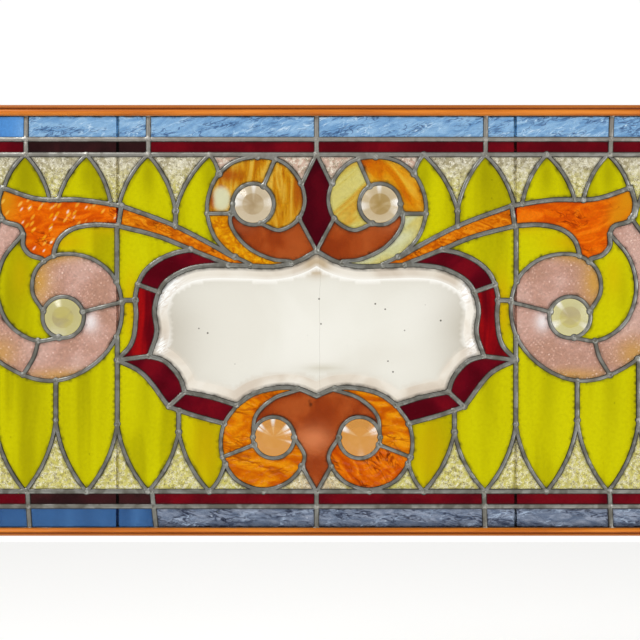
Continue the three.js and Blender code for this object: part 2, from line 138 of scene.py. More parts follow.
# %% Two soft lamps in front
def lamp(name, place, size, watts):
    """A square soft lamp that looks at the middle of the window."""
    light = bpy.data.lights.new(name, "AREA")
    light.size = size
    light.energy = watts
    made = bpy.data.objects.new(name, light)
    made.location = place
    made.rotation_euler = (Vector((0, 0, VIEW_Z)) - Vector(place)).to_track_quat("-Z", "Y").to_euler()
    bpy.context.scene.collection.objects.link(made)


lamp("key_lamp", (-1.3, -1.7, 1.9), 0.7, 62)
lamp("fill_lamp", (1.7, -1.9, 0.6), 1.2, 26)

# %% [markdown]
# ## The cartoon
#
# A glazier draws the window full size first. The drawing is called the cartoon, and each line of
# it is the middle of a came. The design is symmetrical, so only its right half is drawn here, in
# millimetres, and then mirrored. Free lines are smooth curves through a few points, petals are
# flat arcs, and rings are circles.

# %% Sizes of the cartoon
CAME_HALF = 6.35 / 2
FINE_CAME_HALF = 5.2 / 2
EDGE_CAME_HALF = 5 / 2
STEP = 2.7
STRAIGHT_STEP = 5
CURVE_PARTS = 16
ARC_PARTS = 24
CIRCLE_PARTS = 64

EDGE_LINE = {"x": 536, "low": 7.5, "high": 534}
BLUE_RED = {"x": 506, "low": 36.5, "high": 502.3}
RED_FIELD = {"x": 487, "low": 55.4, "high": 483}
# X of each divider at the outer edge and at the field.
LOW_DIVIDERS = [(-364, -367), (-203.5, -209), (0, 0), (214, 212.5), (374, 372)]
HIGH_DIVIDERS = [(-368.5, -369), (-213.5, -213.5), (0, 0), (215, 214.5), (375, 373)]
MIDDLE_Z = 292
BAR_X = [-253.4, 253.4]

RING_RADIUS = 26.2
JEWELS = {"top": (80.4, 420), "side": (321.7, 276.5), "bottom": (54.6, 123.7)}


# %% Lines with even steps
def unit(vectors):
    """Each row over its own length."""
    return vectors / np.maximum(np.linalg.norm(vectors, axis=1, keepdims=True), 1e-12)


def even_steps(line, step=STEP, closed=False):
    """The same line with its points an even step apart: the length run so far is cut into equal
    parts, and both coordinates are read off at the cuts."""
    line = np.array(line, float)
    if closed:
        line = np.vstack([line, line[:1]])
    run = np.r_[0, np.cumsum(np.linalg.norm(np.diff(line, axis=0), axis=1))]
    cuts = np.linspace(0, run[-1], max(1, round(run[-1] / step)) + 1)
    even = np.column_stack([np.interp(cuts, run, line[:, k]) for k in (0, 1)])
    return even[:-1] if closed else even


def smooth(pairs, step=STEP):
    """Centripetal Catmull-Rom curve: between each two points runs a cubic, and its end slopes mix
    those of the chords on both sides, weighted by the square roots of their lengths."""
    p = np.array(pairs, float)
    p = np.vstack([2 * p[0] - p[1], p, 2 * p[-1] - p[-2]])
    d = np.sqrt(np.linalg.norm(np.diff(p, axis=0), axis=1))[:, None]
    before, start, end, after = p[:-3], p[1:-2], p[2:-1], p[3:]
    d0, d1, d2 = d[:-2], d[1:-1], d[2:]
    leave = d1 * ((start - before) / d0 - (end - before) / (d0 + d1) + (end - start) / d1)
    arrive = d1 * ((end - start) / d1 - (after - start) / (d1 + d2) + (after - end) / d2)
    t = np.linspace(0, 1, CURVE_PARTS, endpoint=False)[None, :, None]
    start, end, leave, arrive = (a[:, None] for a in (start, end, leave, arrive))
    curve = (
        start * (2 * t**3 - 3 * t**2 + 1)
        + leave * (t**3 - 2 * t**2 + t)
        + end * (3 * t**2 - 2 * t**3)
        + arrive * (t**3 - t**2)
    )
    return even_steps(np.vstack([curve.reshape(-1, 2), pairs[-1]]), step)


def straight(*corners):
    """A line with corners, in even steps."""
    sides = [even_steps(pair, STRAIGHT_STEP)[:-1] for pair in zip(corners, corners[1:])]
    return np.vstack([*sides, corners[-1]])


def arc(a, b, bulge):
    """From a to b, pushed to the left by the bulge's share of the length, as a parabola."""
    t = np.linspace(0, 1, ARC_PARTS)[:, None]
    a, b = np.array(a, float), np.array(b, float)
    left = np.array([a[1] - b[1], b[0] - a[0]])
    return even_steps(a + t * (b - a) + bulge * 4 * t * (1 - t) * left)


def legs(*curves):
    """Curves that meet end to end, as one line."""
    return np.vstack([curves[0]] + [curve[1:] for curve in curves[1:]])


def rectangle(edge):
    """The closed outline of a border, the same on both sides of the middle."""
    x, low, high = edge["x"], edge["low"], edge["high"]
    return straight((-x, low), (x, low), (x, high), (-x, high), (-x, low))[:-1]


def circle(centre, radius):
    """A closed circle as a ring of points."""
    angle = np.linspace(0, 2 * np.pi, CIRCLE_PARTS, endpoint=False)
    return np.array(centre) + radius * np.column_stack([np.cos(angle), np.sin(angle)])


# %% The lines of the right half
TOP_NOTCH, LOW_NOTCH = (0, 360.8), (0, 176.4)
CUSP, CORNER, FOOT = (212.5, 227.1), (167.4, 181.7), (101.3, 164.6)
cartouche_half = legs(
    smooth([TOP_NOTCH, (23.5, 347.8), (52, 341.2), (91.4, 342), (133.6, 342.5), (165, 337),
            (194.3, 318.6), (205.7, 288), (203.2, 257), CUSP]),
    smooth([CUSP, (193, 220.7), (174.2, 200.6), CORNER]),
    smooth([CORNER, (132, 174.5), FOOT]),
    smooth([FOOT, (80.6, 178.8), (49, 186.7), (22.9, 185.7), LOW_NOTCH]),
)

RUBY_CUSP, RUBY_CORNER = (253, 222.1), (187.6, 163)
ruby_band = [
    smooth([(160, 362), (180, 358), (203, 347.5), (220, 331.8), (229.7, 306), (229.2, 275.4),
            (235, 243), RUBY_CUSP]),
    legs(smooth([RUBY_CUSP, (221.6, 205.6), RUBY_CORNER]),
         smooth([RUBY_CORNER, (157, 152.5), (119, 142)])),
    straight((202.5, 309.3), (227.5, 318.3)),
    straight(CUSP, RUBY_CUSP),
    straight(CORNER, RUBY_CORNER),
    straight((229.9, 298.2), (247.4, 298)),
]

LEAF_TOP, LEAF_LOW, LEAF_TIP = (247.8, 418), (251.6, 392.4), (399.4, 441.2)
leaf_and_stem = [
    smooth([(104, 352), (139.7, 372.2), (184.2, 394.4), LEAF_TOP]),
    smooth([(112, 343.5), (154.9, 360.5), (200, 379), LEAF_LOW]),
    straight(LEAF_TOP, LEAF_LOW),
    legs(smooth([LEAF_TOP, (300, 425.5), (355, 427), LEAF_TIP]),
         smooth([LEAF_TIP, (404.4, 419), (398, 399.5), (377, 391.5), (372.4, 381), (372.5, 367.5),
                 (364, 356.2), (349, 350.8)])),
    smooth([LEAF_LOW, (284, 393.8), (311, 388), (326, 376.5), (332, 364), (334, 354.5)]),
]

side_scroll = [
    smooth([(347, 284), (360.5, 308), (357, 335), (338, 352.5), (314, 356.9), (284, 350.3),
            (258, 328.5), (247, 294), (253, 254), (278, 220.5), (318, 198.5), (353, 197.2),
            (397.5, 216.6), (430, 247.5), (444, 292), (438, 344), (401.3, 400.5)]),
    smooth([(373, 382), (398, 349.6), (405.8, 310), (391, 268.6), (357, 247), (327, 250.5)]),
    smooth([(353.6, 245), (359, 226), (372.4, 203.5)]),
    straight((296.5, 283.5), (247, 295.8)),
]

top_circle = [
    smooth([(71, 395.5), (47, 387), (23, 401), (14.9, 424.7), (22.5, 452), (44, 474), (75, 480),
            (106, 473), (129, 451), (139.1, 416), (131, 381.5), (110, 357.5), (84, 344)]),
    smooth([(106.5, 421), (109, 395), (89, 367), (57, 350.5), (33, 347.5)]),
    straight((53, 476.5), (67.5, 443)),
    straight((106.5, 408.1), (139, 408.1)),
    straight((0, 484), (17.6, 447.5)),
    straight((22, 401.6), TOP_NOTCH),
]

bottom_scroll = [
    smooth([FOOT, (117.9, 139.6), (120.5, 104), (102, 70.5), (67.3, 57.8), (34, 69), (15.2, 98),
            (29, 125)]),
    smooth([(24, 184), (54, 173.5), (77, 151.5), (80.8, 124)]),
    straight((79.5, 114.5), (120, 98.6)),
    straight((18.3, 87), (0, 54.5)),
]

# %% Petals along both borders, and the uprights between them
PETAL_COUNT = 5
PETAL_BULGE = 0.075
petal_x = 136 + 78 * np.arange(PETAL_COUNT)
gap_x = petal_x[:-1] + 39
TOP_FORK = (179, 411.3)
TOP_FEET = [
    [(124.4, 459), TOP_FORK], [TOP_FORK, (250.6, 419.5)], [(261.4, 421), (327.7, 426)],
    [(339, 426), (396.8, 440.5)], [(404.5, 404.5), (RED_FIELD["x"], 403)],
]
FORK_Z = [131, 141, 146, 146]
UPRIGHT_TOP = [155.5, 251, 196.5, 222]

# Between two petals the upright starts at the fork where both arcs end.
forks = [(117, 90), *zip(gap_x, FORK_Z), (RED_FIELD["x"], 146)]
petals = []
for k, x in enumerate(petal_x):
    top, bottom = (x, RED_FIELD["high"]), (x, RED_FIELD["low"])
    petals.append(arc(TOP_FEET[k][0], top, PETAL_BULGE))
    petals.append(arc(top, TOP_FEET[k][1], PETAL_BULGE))
    petals.append(arc(bottom, forks[k], PETAL_BULGE))
    petals.append(arc(forks[k + 1], bottom, PETAL_BULGE))

uprights = [
    straight(TOP_FORK, (TOP_FORK[0], 391.5)),
    *[straight((x, low), (x, high)) for x, low, high in zip(gap_x, FORK_Z, UPRIGHT_TOP)],
    straight((BAR_X[1], 393), (BAR_X[1], 322)),
]

dividers = [straight((444, MIDDLE_Z), (EDGE_LINE["x"], MIDDLE_Z))]
for inner, outer in ((BLUE_RED, EDGE_LINE), (RED_FIELD, BLUE_RED)):
    for level in ("low", "high"):
        dividers.append(straight((inner["x"], inner[level]), (outer["x"], inner[level])))

# The dividers above and below were set one by one, so they lean a little and aren't mirrored.
leaning = [
    straight((x0, EDGE_LINE[edge]), (x1, RED_FIELD[edge]))
    for edge, ends in (("low", LOW_DIVIDERS), ("high", HIGH_DIVIDERS))
    for x0, x1 in ends
]
print("petal lines:", len(petals), "uprights:", len(uprights), "dividers:", len(dividers + leaning))

# %% The whole cartoon
MIRROR = np.array([-1, 1])
stout = [*ruby_band, *leaf_and_stem, *uprights, *dividers]
fine = [*side_scroll, *top_circle, *bottom_scroll, *petals]
cartouche = np.vstack([cartouche_half, (cartouche_half * MIRROR)[::-1][1:-1]])
rings = [circle(centre, RING_RADIUS) for centre in JEWELS.values()]

# Each came is a line, whether it is closed, and half its width.
cames = [(line * side, False, CAME_HALF) for line in stout for side in (1, MIRROR)]
cames += [(line, False, CAME_HALF) for line in leaning]
cames += [(line * side, False, FINE_CAME_HALF) for line in fine for side in (1, MIRROR)]
cames += [(line * side, True, FINE_CAME_HALF) for line in rings for side in (1, MIRROR)]
cames += [(line, True, CAME_HALF) for line in (cartouche, rectangle(BLUE_RED), rectangle(RED_FIELD))]
cames += [(rectangle(EDGE_LINE), True, EDGE_CAME_HALF)]
print("cames:", len(cames), "points:", sum(len(line) for line, _, _ in cames))

# %% [markdown]
# ## From lines to openings and joints
#
# Every came that ends runs into another one, so each end of an open line is linked to the came
# that it meets. Then a triangulation that keeps all lines as edges sorts out the rest. Triangles
# that touch across an edge which is no line lie in the same opening, and a spot where three or
# more lines meet is a solder joint. Stubs that stick out past a joint are cut off.
#
# A glazier finds the panes in the same way: they are what the lines of the cartoon enclose.

# %% The spot of a line that is nearest
def nearest(points, line, closed=False):
    """For each point, its distance from a line and the spot of the line that is nearest: the foot
    on every edge, kept between the edge's ends, and then the closest of all these feet."""
    start = line if closed else line[:-1]
    along = (np.roll(line, -1, axis=0) - line)[: len(start)]
    share = ((points[:, None] - start) * along).sum(axis=2) / (along**2).sum(axis=1)
    foot = start + np.clip(share, 0, 1)[..., None] * along
    away = np.linalg.norm(points[:, None] - foot, axis=2)
    best = (np.arange(len(points)), away.argmin(axis=1))
    return away[best], foot[best]


# %% Triangulate the drawing
OVERSHOOT = 0.5


def link(number, end):
    """A short line from the end of a came to the nearest other one, and a little past its middle."""
    others = [came for k, came in enumerate(cames) if k != number]
    feet = [nearest(end[None], line, closed) for line, closed, _ in others]
    _, foot = min(feet, key=lambda found: found[0][0])
    gap = foot[0] - end
    return np.array([end, foot[0] + OVERSHOOT * gap / max(np.linalg.norm(gap), OVERSHOOT)])


def chained(lines):
    """Points and edges of several (line, closed) as two arrays with common numbers."""
    points = np.vstack([line for line, _ in lines])
    edges, start = [], 0
    for line, closed in lines:
        number = np.arange(start, start + len(line))
        pairs = np.column_stack([number, np.roll(number, -1)])
        edges.append(pairs if closed else pairs[:-1])
        start += len(line)
    return points, np.vstack(edges)


def triangulated(points, edges, faces=(), kind=0):
    """Delaunay triangles that keep the given edges, and which of their edges are kept ones."""
    found = delaunay_2d_cdt(
        [Vector(p) for p in points], np.asarray(edges).tolist(), list(faces), kind, 1e-4
    )
    kept = np.array([e for e, source in zip(found[1], found[4]) if source])
    return np.array(found[0]), np.array(found[2]), kept


links = [
    (link(number, end), False)
    for number, (line, closed, _) in enumerate(cames) if not closed
    for end in (line[0], line[-1])
]
# The circles lean against the border without an end there.
for x, low, high in ((75, 478, RED_FIELD["high"] + 1), (67.3, RED_FIELD["low"] - 1, 60)):
    links += [(np.array([(x, low), (x, high)]) * side, False) for side in (1, MIRROR)]
drawn = [(line, closed) for line, closed, _ in cames] + links
drawing, triangles, line_edges = triangulated(*chained(drawn))

loose = np.ones(1, bool)
while loose.any():
    degree = np.bincount(line_edges.ravel(), minlength=len(drawing))
    loose = (degree[line_edges] == 1).any(axis=1)
    line_edges = line_edges[~loose]
print("drawing:", len(drawing), "points,", len(triangles), "triangles")


# %% Sort the triangles into openings
def edge_keys(a, b):
    """One number for each edge, the same both ways round."""
    return np.minimum(a, b).astype(np.int64) * len(drawing) + np.maximum(a, b)


def openings_of(triangles):
    """A number for each triangle, alike for all that hang together without crossing a line: each
    takes the least number among its neighbours, until nothing changes."""
    start, end = triangles.ravel(), np.roll(triangles, -1, axis=1).ravel()
    keys = edge_keys(start, end)
    owner = np.repeat(np.arange(len(triangles)), 3)
    order = np.argsort(keys, kind="stable")
    keys, owner = keys[order], owner[order]
    pair = (keys[1:] == keys[:-1]) & ~np.isin(keys[1:], edge_keys(*line_edges.T))
    a, b = owner[:-1][pair], owner[1:][pair]
    label, before = np.arange(len(triangles)), None
    while before is None or (label != before).any():
        before = label.copy()
        least = np.minimum(label[a], label[b])
        np.minimum.at(label, a, least)
        np.minimum.at(label, b, least)
        label = label[label]
    return label


def outline_of(triangles):
    """The closed line round some triangles: the edges that only one of them has, walked in order."""
    start, end = triangles.ravel(), np.roll(triangles, -1, axis=1).ravel()
    back = set(zip(end.tolist(), start.tolist()))
    after = {a: b for a, b in zip(start.tolist(), end.tolist()) if (a, b) not in back}
    walk = [next(iter(after))]
    while after.get(walk[-1], walk[0]) != walk[0]:
        walk.append(after[walk[-1]])
    return walk


opening = openings_of(triangles)
corner_a, corner_b, corner_c = (drawing[triangles[:, k]] for k in range(3))


def opening_at(spot):
    """The outline of the opening that holds a spot: the spot is on the left of all three edges of
    one triangle."""
    inside = np.ones(len(triangles), bool)
    for p, q in ((corner_a, corner_b), (corner_b, corner_c), (corner_c, corner_a)):
        edge, away = q - p, spot - p
        inside &= edge[:, 0] * away[:, 1] >= edge[:, 1] * away[:, 0]
    label = opening[np.flatnonzero(inside)[0]]
    return drawing[outline_of(triangles[opening == label])]


# Crossings that are nearer than this share one round of solder.
JOINT_SPACING = 4
joints = []
for spot in drawing[degree >= 3]:
    if all(np.linalg.norm(spot - other) > JOINT_SPACING for other in joints):
        joints.append(spot)
joints = np.array(joints)
print("solder joints:", len(joints), " openings:", len(np.unique(opening)))

# %% [markdown]
# ## One way to make a flat piece solid
#
# Panes and lead are both flat outlines with a surface in front and one behind. So both are made
# alike: triangles fill the outline, the front ones get a depth from a formula, the back ones are
# turned over, and a wall joins the two along the outline. The result is one closed mesh. Depth
# runs along Y, and the front of the window looks along -Y.

# %% A closed mesh from a filled outline
SHARP = np.radians(38)


def make_mesh(name, points, faces, sharp=SHARP):
    """A mesh from points in millimetres, smooth but for edges where the surface turns sharply."""
    mesh = bpy.data.meshes.new(name)
    mesh.from_pydata((np.asarray(points) * MM).tolist(), [], faces)
    mesh.shade_smooth()
    mesh.set_sharp_from_angle(angle=sharp)
    return mesh


def add_masks(mesh, masks):
    """Keeps one number per point under each name, for a material to read."""
    for name, values in masks.items():
        layer = mesh.attributes.new(name, "FLOAT", "POINT")
        layer.data.foreach_set("value", values.astype(np.float32))


def closed_mesh(name, flat, front, back, front_y, back_y, masks, back_share):
    """The points of a flat outline stand at front_y and again at back_y. Walls hang on the edges
    that only one front triangle has. Masks hold in front, and by back_share behind."""
    count = len(flat)
    start, end = front.ravel(), np.roll(front, -1, axis=1).ravel()
    known = set(zip(end.tolist(), start.tolist()))
    pairs = zip(start.tolist(), end.tolist())
    walls = [(a, a + count, b + count, b) for a, b in pairs if (a, b) not in known]
    faces = front.tolist() + (back[:, ::-1] + count).tolist() + walls
    used = np.unique(np.r_[front.ravel(), back.ravel() + count])
    renumber = np.zeros(2 * count, int)
    renumber[used] = np.arange(len(used))
    x, z = np.tile(flat, (2, 1)).T
    points = np.column_stack([x, np.r_[front_y, back_y], z])
    mesh = make_mesh(name, points[used], [renumber[list(face)].tolist() for face in faces])
    add_masks(mesh, {key: np.r_[held, back_share * held][used] for key, held in masks.items()})
    return mesh


def tube_faces(rings, size):
    """Quads between neighbouring rings of points, and a flat cap on the first and the last."""
    number = np.arange(rings * size).reshape(rings, size)
    turned = np.roll(number, -1, axis=1)
    quads = np.stack([number[:-1], turned[:-1], turned[1:], number[1:]], axis=-1).reshape(-1, 4)
    return quads.tolist() + [number[0, ::-1].tolist(), number[-1].tolist()]


def piece(name, mesh, material, slot, *stands_for):
    """A finished piece: it rides on the window's one body and stands for plain nodes."""
    made = bpy.data.objects.new(name, mesh)
    mesh.materials.append(material)
    bpy.context.scene.collection.objects.link(made)
    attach(made, "root")
    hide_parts(*stands_for)


# %% Waves, the stuff that rolled glass and worked lead are made of
def waves(points, seed, length, turn=90.0, spread=180.0, count=28):
    """Many plane sine waves added up, with wavelengths near `length` that run within `spread`
    degrees about `turn`. The sum is mostly between -1 and 1."""
    rng = np.random.default_rng(seed)
    angle = np.radians(turn + spread * rng.uniform(-0.5, 0.5, count))
    pace = 2 * np.pi / (length * rng.uniform(0.7, 1.4, count))
    late = rng.uniform(0, 2 * np.pi, count)
    along = points @ np.array([np.cos(angle), np.sin(angle)])
    return np.sin(along * pace + late).sum(axis=1) / np.sqrt(2 * count)


# %% [markdown]
# ## Materials
#
# Glass takes its colour from what passes through. A principled shader with full transmission
# tints the light by its base colour once for each pane, so the colour that is wanted against a
# white sky is simply the base colour. What makes old glass look real is that the colour is never
# even: streaks of the batch, and a few specks. Light and shade are painted into the colour as
# well: darker creases where a rolled surface bends the light away, dark and bright lines and
# bright glints that a rippled sheet draws, and a dark line along the lead that is partly dirt and
# partly painted shade. Five small node groups hold those effects, and every glass uses them with
# its own values.

# %% Colours as they look on a screen, turned into light
def light(red, green, blue):
    """Screen values from 0 to 255 as linear light, by the usual curve."""
    c = np.array([red, green, blue]) / 255
    linear = np.where(c <= 0.04045, c / 12.92, ((c + 0.055) / 1.055) ** 2.4)
    return (*linear, 1.0)


def group(name, inputs, outputs):
    """An empty node group with named sockets, and its two end nodes."""
    tree = bpy.data.node_groups.new(name, "ShaderNodeTree")
    kinds = {float: "NodeSocketFloat", tuple: "NodeSocketColor", str: "NodeSocketVector"}
    for side, sockets in (("INPUT", inputs), ("OUTPUT", outputs)):
        for key, value in sockets.items():
            kind = kinds[type(value)]
            socket = tree.interface.new_socket(name=key, in_out=side, socket_type=kind)
            if side == "INPUT" and kind != "NodeSocketVector":
                socket.default_value = value
    given, made = tree.nodes.new("NodeGroupInput"), tree.nodes.new("NodeGroupOutput")
    return tree, given.outputs, made.inputs


def blend(tree, share, below, above):
    """Two colours mixed by a share. Of the node's many sockets, these are the ones for colours."""
    made = node(tree, "Mix", data_type="RGBA")
    feed(tree, made.inputs["Factor"], share)
    feed(tree, made.inputs[6], below)
    feed(tree, made.inputs[7], above)
    return made.outputs[2]


# %% Streaks of the batch: three colours along a stretched, bent noise
WHITE = (1.0, 1.0, 1.0, 1.0)
streaks, given, made = group(
    "streaks_of_the_batch",
    {"Place": "vector", "Pale": WHITE, "Body": WHITE, "Deep": WHITE, "Size": 20.0, "Bend": 1.0},
    {"Color": WHITE, "Depth": 0.0},
)
flow = node(streaks, "TexNoise", Vector=given["Place"], Scale=given["Size"], Detail=3.0,
            Distortion=given["Bend"])
depth = span(streaks, flow.outputs[0], 0.34, 0.66)
to_body = span(streaks, depth, 0.0, 0.5, kind="LINEAR")
to_deep = span(streaks, depth, 0.5, 1.0, kind="LINEAR")
pale_half = blend(streaks, to_body, given["Pale"], given["Body"])
feed(streaks, made["Color"], blend(streaks, to_deep, pale_half, given["Deep"]))
feed(streaks, made["Depth"], depth)

# %% Dirt and painted shade: a dark line along the lead, partly dirt and partly painted shade, and a few specks of dirt in or on the glass
dirt_and_shade, given, made = group(
    "dirt_and_shade_on_glass", {"Place": "vector", "Rim": 0.0, "Speck Size": 60.0, "Specks": 0.1}, {"Dirt And Shade": 0.0}
)
smut = node(dirt_and_shade, "TexNoise", Vector=given["Place"], Scale=90.0, Detail=4.0).outputs[0]
shade_and_dirt_along_lead = calc(dirt_and_shade, "MULTIPLY", given["Rim"], span(dirt_and_shade, smut, 0.3, 0.7, 0.35, 1.0))
cell = node(dirt_and_shade, "TexVoronoi", Vector=given["Place"], Scale=given["Speck Size"]).outputs
chance = node(dirt_and_shade, "SeparateColor", Color=cell["Color"]).outputs[0]
rare = calc(dirt_and_shade, "LESS_THAN", chance, given["Specks"])
speck = calc(dirt_and_shade, "MULTIPLY", rare, span(dirt_and_shade, cell["Distance"], 0.03, 0.08, 1.0, 0.0))
feed(dirt_and_shade, made["Dirt And Shade"], calc(dirt_and_shade, "MAXIMUM", shade_and_dirt_along_lead, speck))

# %% Grain: a height for the fine skin of a surface
grain, given, made = group("fine_skin", {"Place": "vector", "Size": 300.0, "Rough": 0.5}, {"Height": 0.0})
fine = node(grain, "TexNoise", Vector=given["Place"], Scale=given["Size"], Detail=4.0,
            Roughness=given["Rough"])
feed(grain, made["Height"], fine.outputs[0])

# %% Lines: painted shade and light, what a rippled sheet makes of the dark things behind it, and of bright ones
wandering, given, made = group(
    "wandering_lines", {"Place": "vector", "Size": 100.0, "Width": 0.03, "Rare": 0.5}, {"Line": 0.0}
)
field = node(wandering, "TexNoise", Vector=given["Place"], Scale=given["Size"], Detail=1.5, Distortion=0.8)
from_middle = calc(wandering, "ABSOLUTE", calc(wandering, "SUBTRACT", field.outputs[0], 0.5))
widths = calc(wandering, "DIVIDE", from_middle, given["Width"])
line = calc(wandering, "SUBTRACT", 1.6, widths, clamp=True)
coarser = calc(wandering, "MULTIPLY", given["Size"], 0.45)
patches = node(wandering, "TexNoise", Vector=given["Place"], Scale=coarser, Detail=1.0)
above = calc(wandering, "SUBTRACT", patches.outputs[0], given["Rare"])
there = calc(wandering, "MULTIPLY", above, 14.0, clamp=True)
feed(wandering, made["Line"], calc(wandering, "MULTIPLY", line, there))

# %% Dashes: painted glints, what a rippled sheet makes of the bright things
glint_dashes, given, made = group(
    "painted_glint_dashes", {"Place": "vector", "Size": 100.0, "Radius": 0.2, "Share": 0.1}, {"Dash": 0.0}
)
cell = node(glint_dashes, "TexVoronoi", Vector=given["Place"], Scale=given["Size"]).outputs
chance = node(glint_dashes, "SeparateColor", Color=cell["Color"]).outputs[0]
picked = calc(glint_dashes, "LESS_THAN", chance, given["Share"])
reach = calc(glint_dashes, "DIVIDE", cell["Distance"], given["Radius"])
core = calc(glint_dashes, "SUBTRACT", 2.0, calc(glint_dashes, "MULTIPLY", reach, 2.0), clamp=True)
feed(glint_dashes, made["Dash"], calc(glint_dashes, "MULTIPLY", picked, core))
print("node groups:", sorted(tree.name for tree in bpy.data.node_groups))


# %% A material, with its place on the piece and its shader
def material(name, **shader):
    """A new material with a principled shader whose plain values are given."""
    made = bpy.data.materials.new(name)
    made.use_nodes = True
    tree = made.node_tree
    tree.nodes.clear()
    surface = node(tree, "BsdfPrincipled", **shader)
    node(tree, "OutputMaterial", Surface=surface.outputs[0])
    return made, tree, surface.inputs, node(tree, "TexCoord").outputs["Object"]


def placed(tree, place, stretch=(1, 1, 1), turn=0.0):
    """The place on the piece, turned about Y until `turn` lies along X, and then stretched."""
    turned = node(tree, "Mapping", Vector=place, Rotation=(0, np.radians(turn), 0)).outputs[0]
    return node(tree, "Mapping", Vector=turned, Scale=stretch).outputs[0]


def use(tree, kit, **values):
    """Places a node group and feeds its inputs."""
    return node(tree, "Group", node_tree=kit, **values).outputs


def streaked(tree, place, pale, body, deep, size, bend):
    """The streaks of the batch in three screen colours."""
    return use(tree, streaks, Place=place, Pale=light(*pale), Body=light(*body), Deep=light(*deep),
               Size=size, Bend=bend)


def painted(tree, name):
    """A mask that was worked out with the mesh."""
    return node(tree, "Attribute", attribute_name=name).outputs["Fac"]


def roughen(tree, shader, height, depth, strength=0.5):
    """A height as a bump of the surface, with its depth in millimetres."""
    bump = node(tree, "Bump", Height=height, Strength=strength, Distance=depth * MM)
    feed(tree, shader["Normal"], bump.outputs[0])


# The first colour is the dark of dirt and painted shade along the lead.
GRIME_AND_SHADE = light(30, 25, 18)
DULLED = (0.3, 0.3, 0.3, 1)
FINE_DEPTH = 0.2
BLACK = light(0, 0, 0)
EVEN = (1, 1, 1)


def glass(name, pale, body, deep, size=18.0, bend=0.6, stretch=EVEN, turn=0.0, lines=(), painted_glints=(),
          washes=(), grain_share=0.14, grain_size=300.0, rough=0.07, clear=1.0, skin_depth=0.02,
          speck_size=90.0, specks=0.05):
    """Glass with streaks of three colours, fine grain, painted lines of shade and light, painted
    glints, and washes that follow masks of the mesh. A line is (colour, size, width, stretch, turn,
    rare), a glint (colour, size, radius, stretch, turn, share). Dirt and painted shade darken it
    along the lead."""
    made, tree, shader, place = material(
        name, Roughness=rough, IOR=1.5, Transmission_Weight=clear, Specular_Tint=DULLED
    )
    flow = placed(tree, place, stretch, turn)
    colour = streaked(tree, flow, pale, body, deep, size, bend)["Color"]
    fine_grain = use(tree, grain, Place=place, Size=grain_size)["Height"]
    colour = blend(tree, span(tree, fine_grain, 0.42, 0.66, 0.0, grain_share), colour, BLACK)
    # Washes of a second colour: some are the glass's own colour, others are painted shade and painted
    # sheen.
    for mask, wash in dict(washes).items():
        colour = blend(tree, painted(tree, mask), colour, light(*wash))
    # Painted shade and light: dark and bright lines of the rolled surface.
    for tint, line_size, width, line_stretch, line_turn, rare in lines:
        flow = placed(tree, place, line_stretch, line_turn)
        drawn = use(tree, wandering, Place=flow, Size=line_size, Width=width, Rare=rare)["Line"]
        colour = blend(tree, drawn, colour, light(*tint))
    # Painted glints: bright dashes where the ripples would catch the lamps.
    for tint, dash_size, radius, dash_stretch, dash_turn, share in painted_glints:
        flow = placed(tree, place, dash_stretch, dash_turn)
        drawn = use(tree, glint_dashes, Place=flow, Size=dash_size, Radius=radius, Share=share)["Dash"]
        colour = blend(tree, drawn, colour, light(*tint))
    # Dirt and painted shade: a dark line along the lead, and specks of dirt.
    rim = painted(tree, "rim")
    dirt_and_shade_share = use(tree, dirt_and_shade, Place=place, Rim=rim, Speck_Size=speck_size, Specks=specks)["Dirt And Shade"]
    feed(tree, shader["Base Color"], blend(tree, dirt_and_shade_share, colour, GRIME_AND_SHADE))
    roughen(tree, shader, fine_grain, skin_depth, 0.6)
    return made


# %% [markdown]
# ## The lead
#
# Came is drawn lead with an H section: two rounded flanges hold the glass between them. Where
# cames meet, the glazier melts a flat round of solder over the joint. Seen from the front, the
# lead is one surface whose height depends only on how near the middle of a came or of a joint is.
# So the net is not swept piece by piece and joined, but worked out as one field: rows of points
# along every came, rings round every joint, and the higher of the two shapes at each point.

# %% Heights of the lead
LIP = 1.9
CROWN = 2.8
SOLDER = 2.9
LEAD_ROWS = (0.0, 0.55, 0.88, 1.0)
JOINT_RINGS = (0.001, 0.55, 1.0)
CULL_RUN = 16
BARE_SHARE = 0.985
SEAM = 6
LEAD_FRONT = CROWN + 0.35

lead_rng = np.random.default_rng(5)
joint_radius = lead_rng.uniform(3.7, 4.9, len(joints))


def came_share(points):
    """How far each point is from the middle of the nearest came, as a share of the came's half
    width. Only points near a short run of a line are measured against it."""
    share = np.full(len(points), 9.0)
    for line, closed, half in cames:
        path = np.vstack([line, line[:1]]) if closed else line
        for at in range(0, len(path) - 1, CULL_RUN):
            run = path[at : at + CULL_RUN + 1]
            reach = 2 * half
            near = ((points > run.min(axis=0) - reach) & (points < run.max(axis=0) + reach)).all(axis=1)
            if near.any():
                share[near] = np.minimum(share[near], nearest(points[near], run)[0] / half)
    return share


def joint_share(points):
    """The same for the nearest solder joint, as a share of its radius."""
    away = np.linalg.norm(points[:, None] - joints, axis=2) / joint_radius
    return away.min(axis=1)


def offset(line, distance, closed=False):
    """A line moved to its left: each point goes along the mitre of the two edges that meet there,
    further the sharper the turn."""
    into, out = unit(line - np.roll(line, 1, axis=0)), unit(np.roll(line, -1, axis=0) - line)
    if not closed:
        into[0], out[-1] = out[0], into[-1]
    left_in, left_out = (np.column_stack([-v[:, 1], v[:, 0]]) for v in (into, out))
    mitre = unit(left_in + left_out)
    stretch = 1 / np.maximum((mitre * left_in).sum(axis=1), 0.35)
    return line + mitre * (distance * stretch)[:, None]


# %% Points and outlines of the lead
inner_points, outline_points, outline_edges = [], [], []


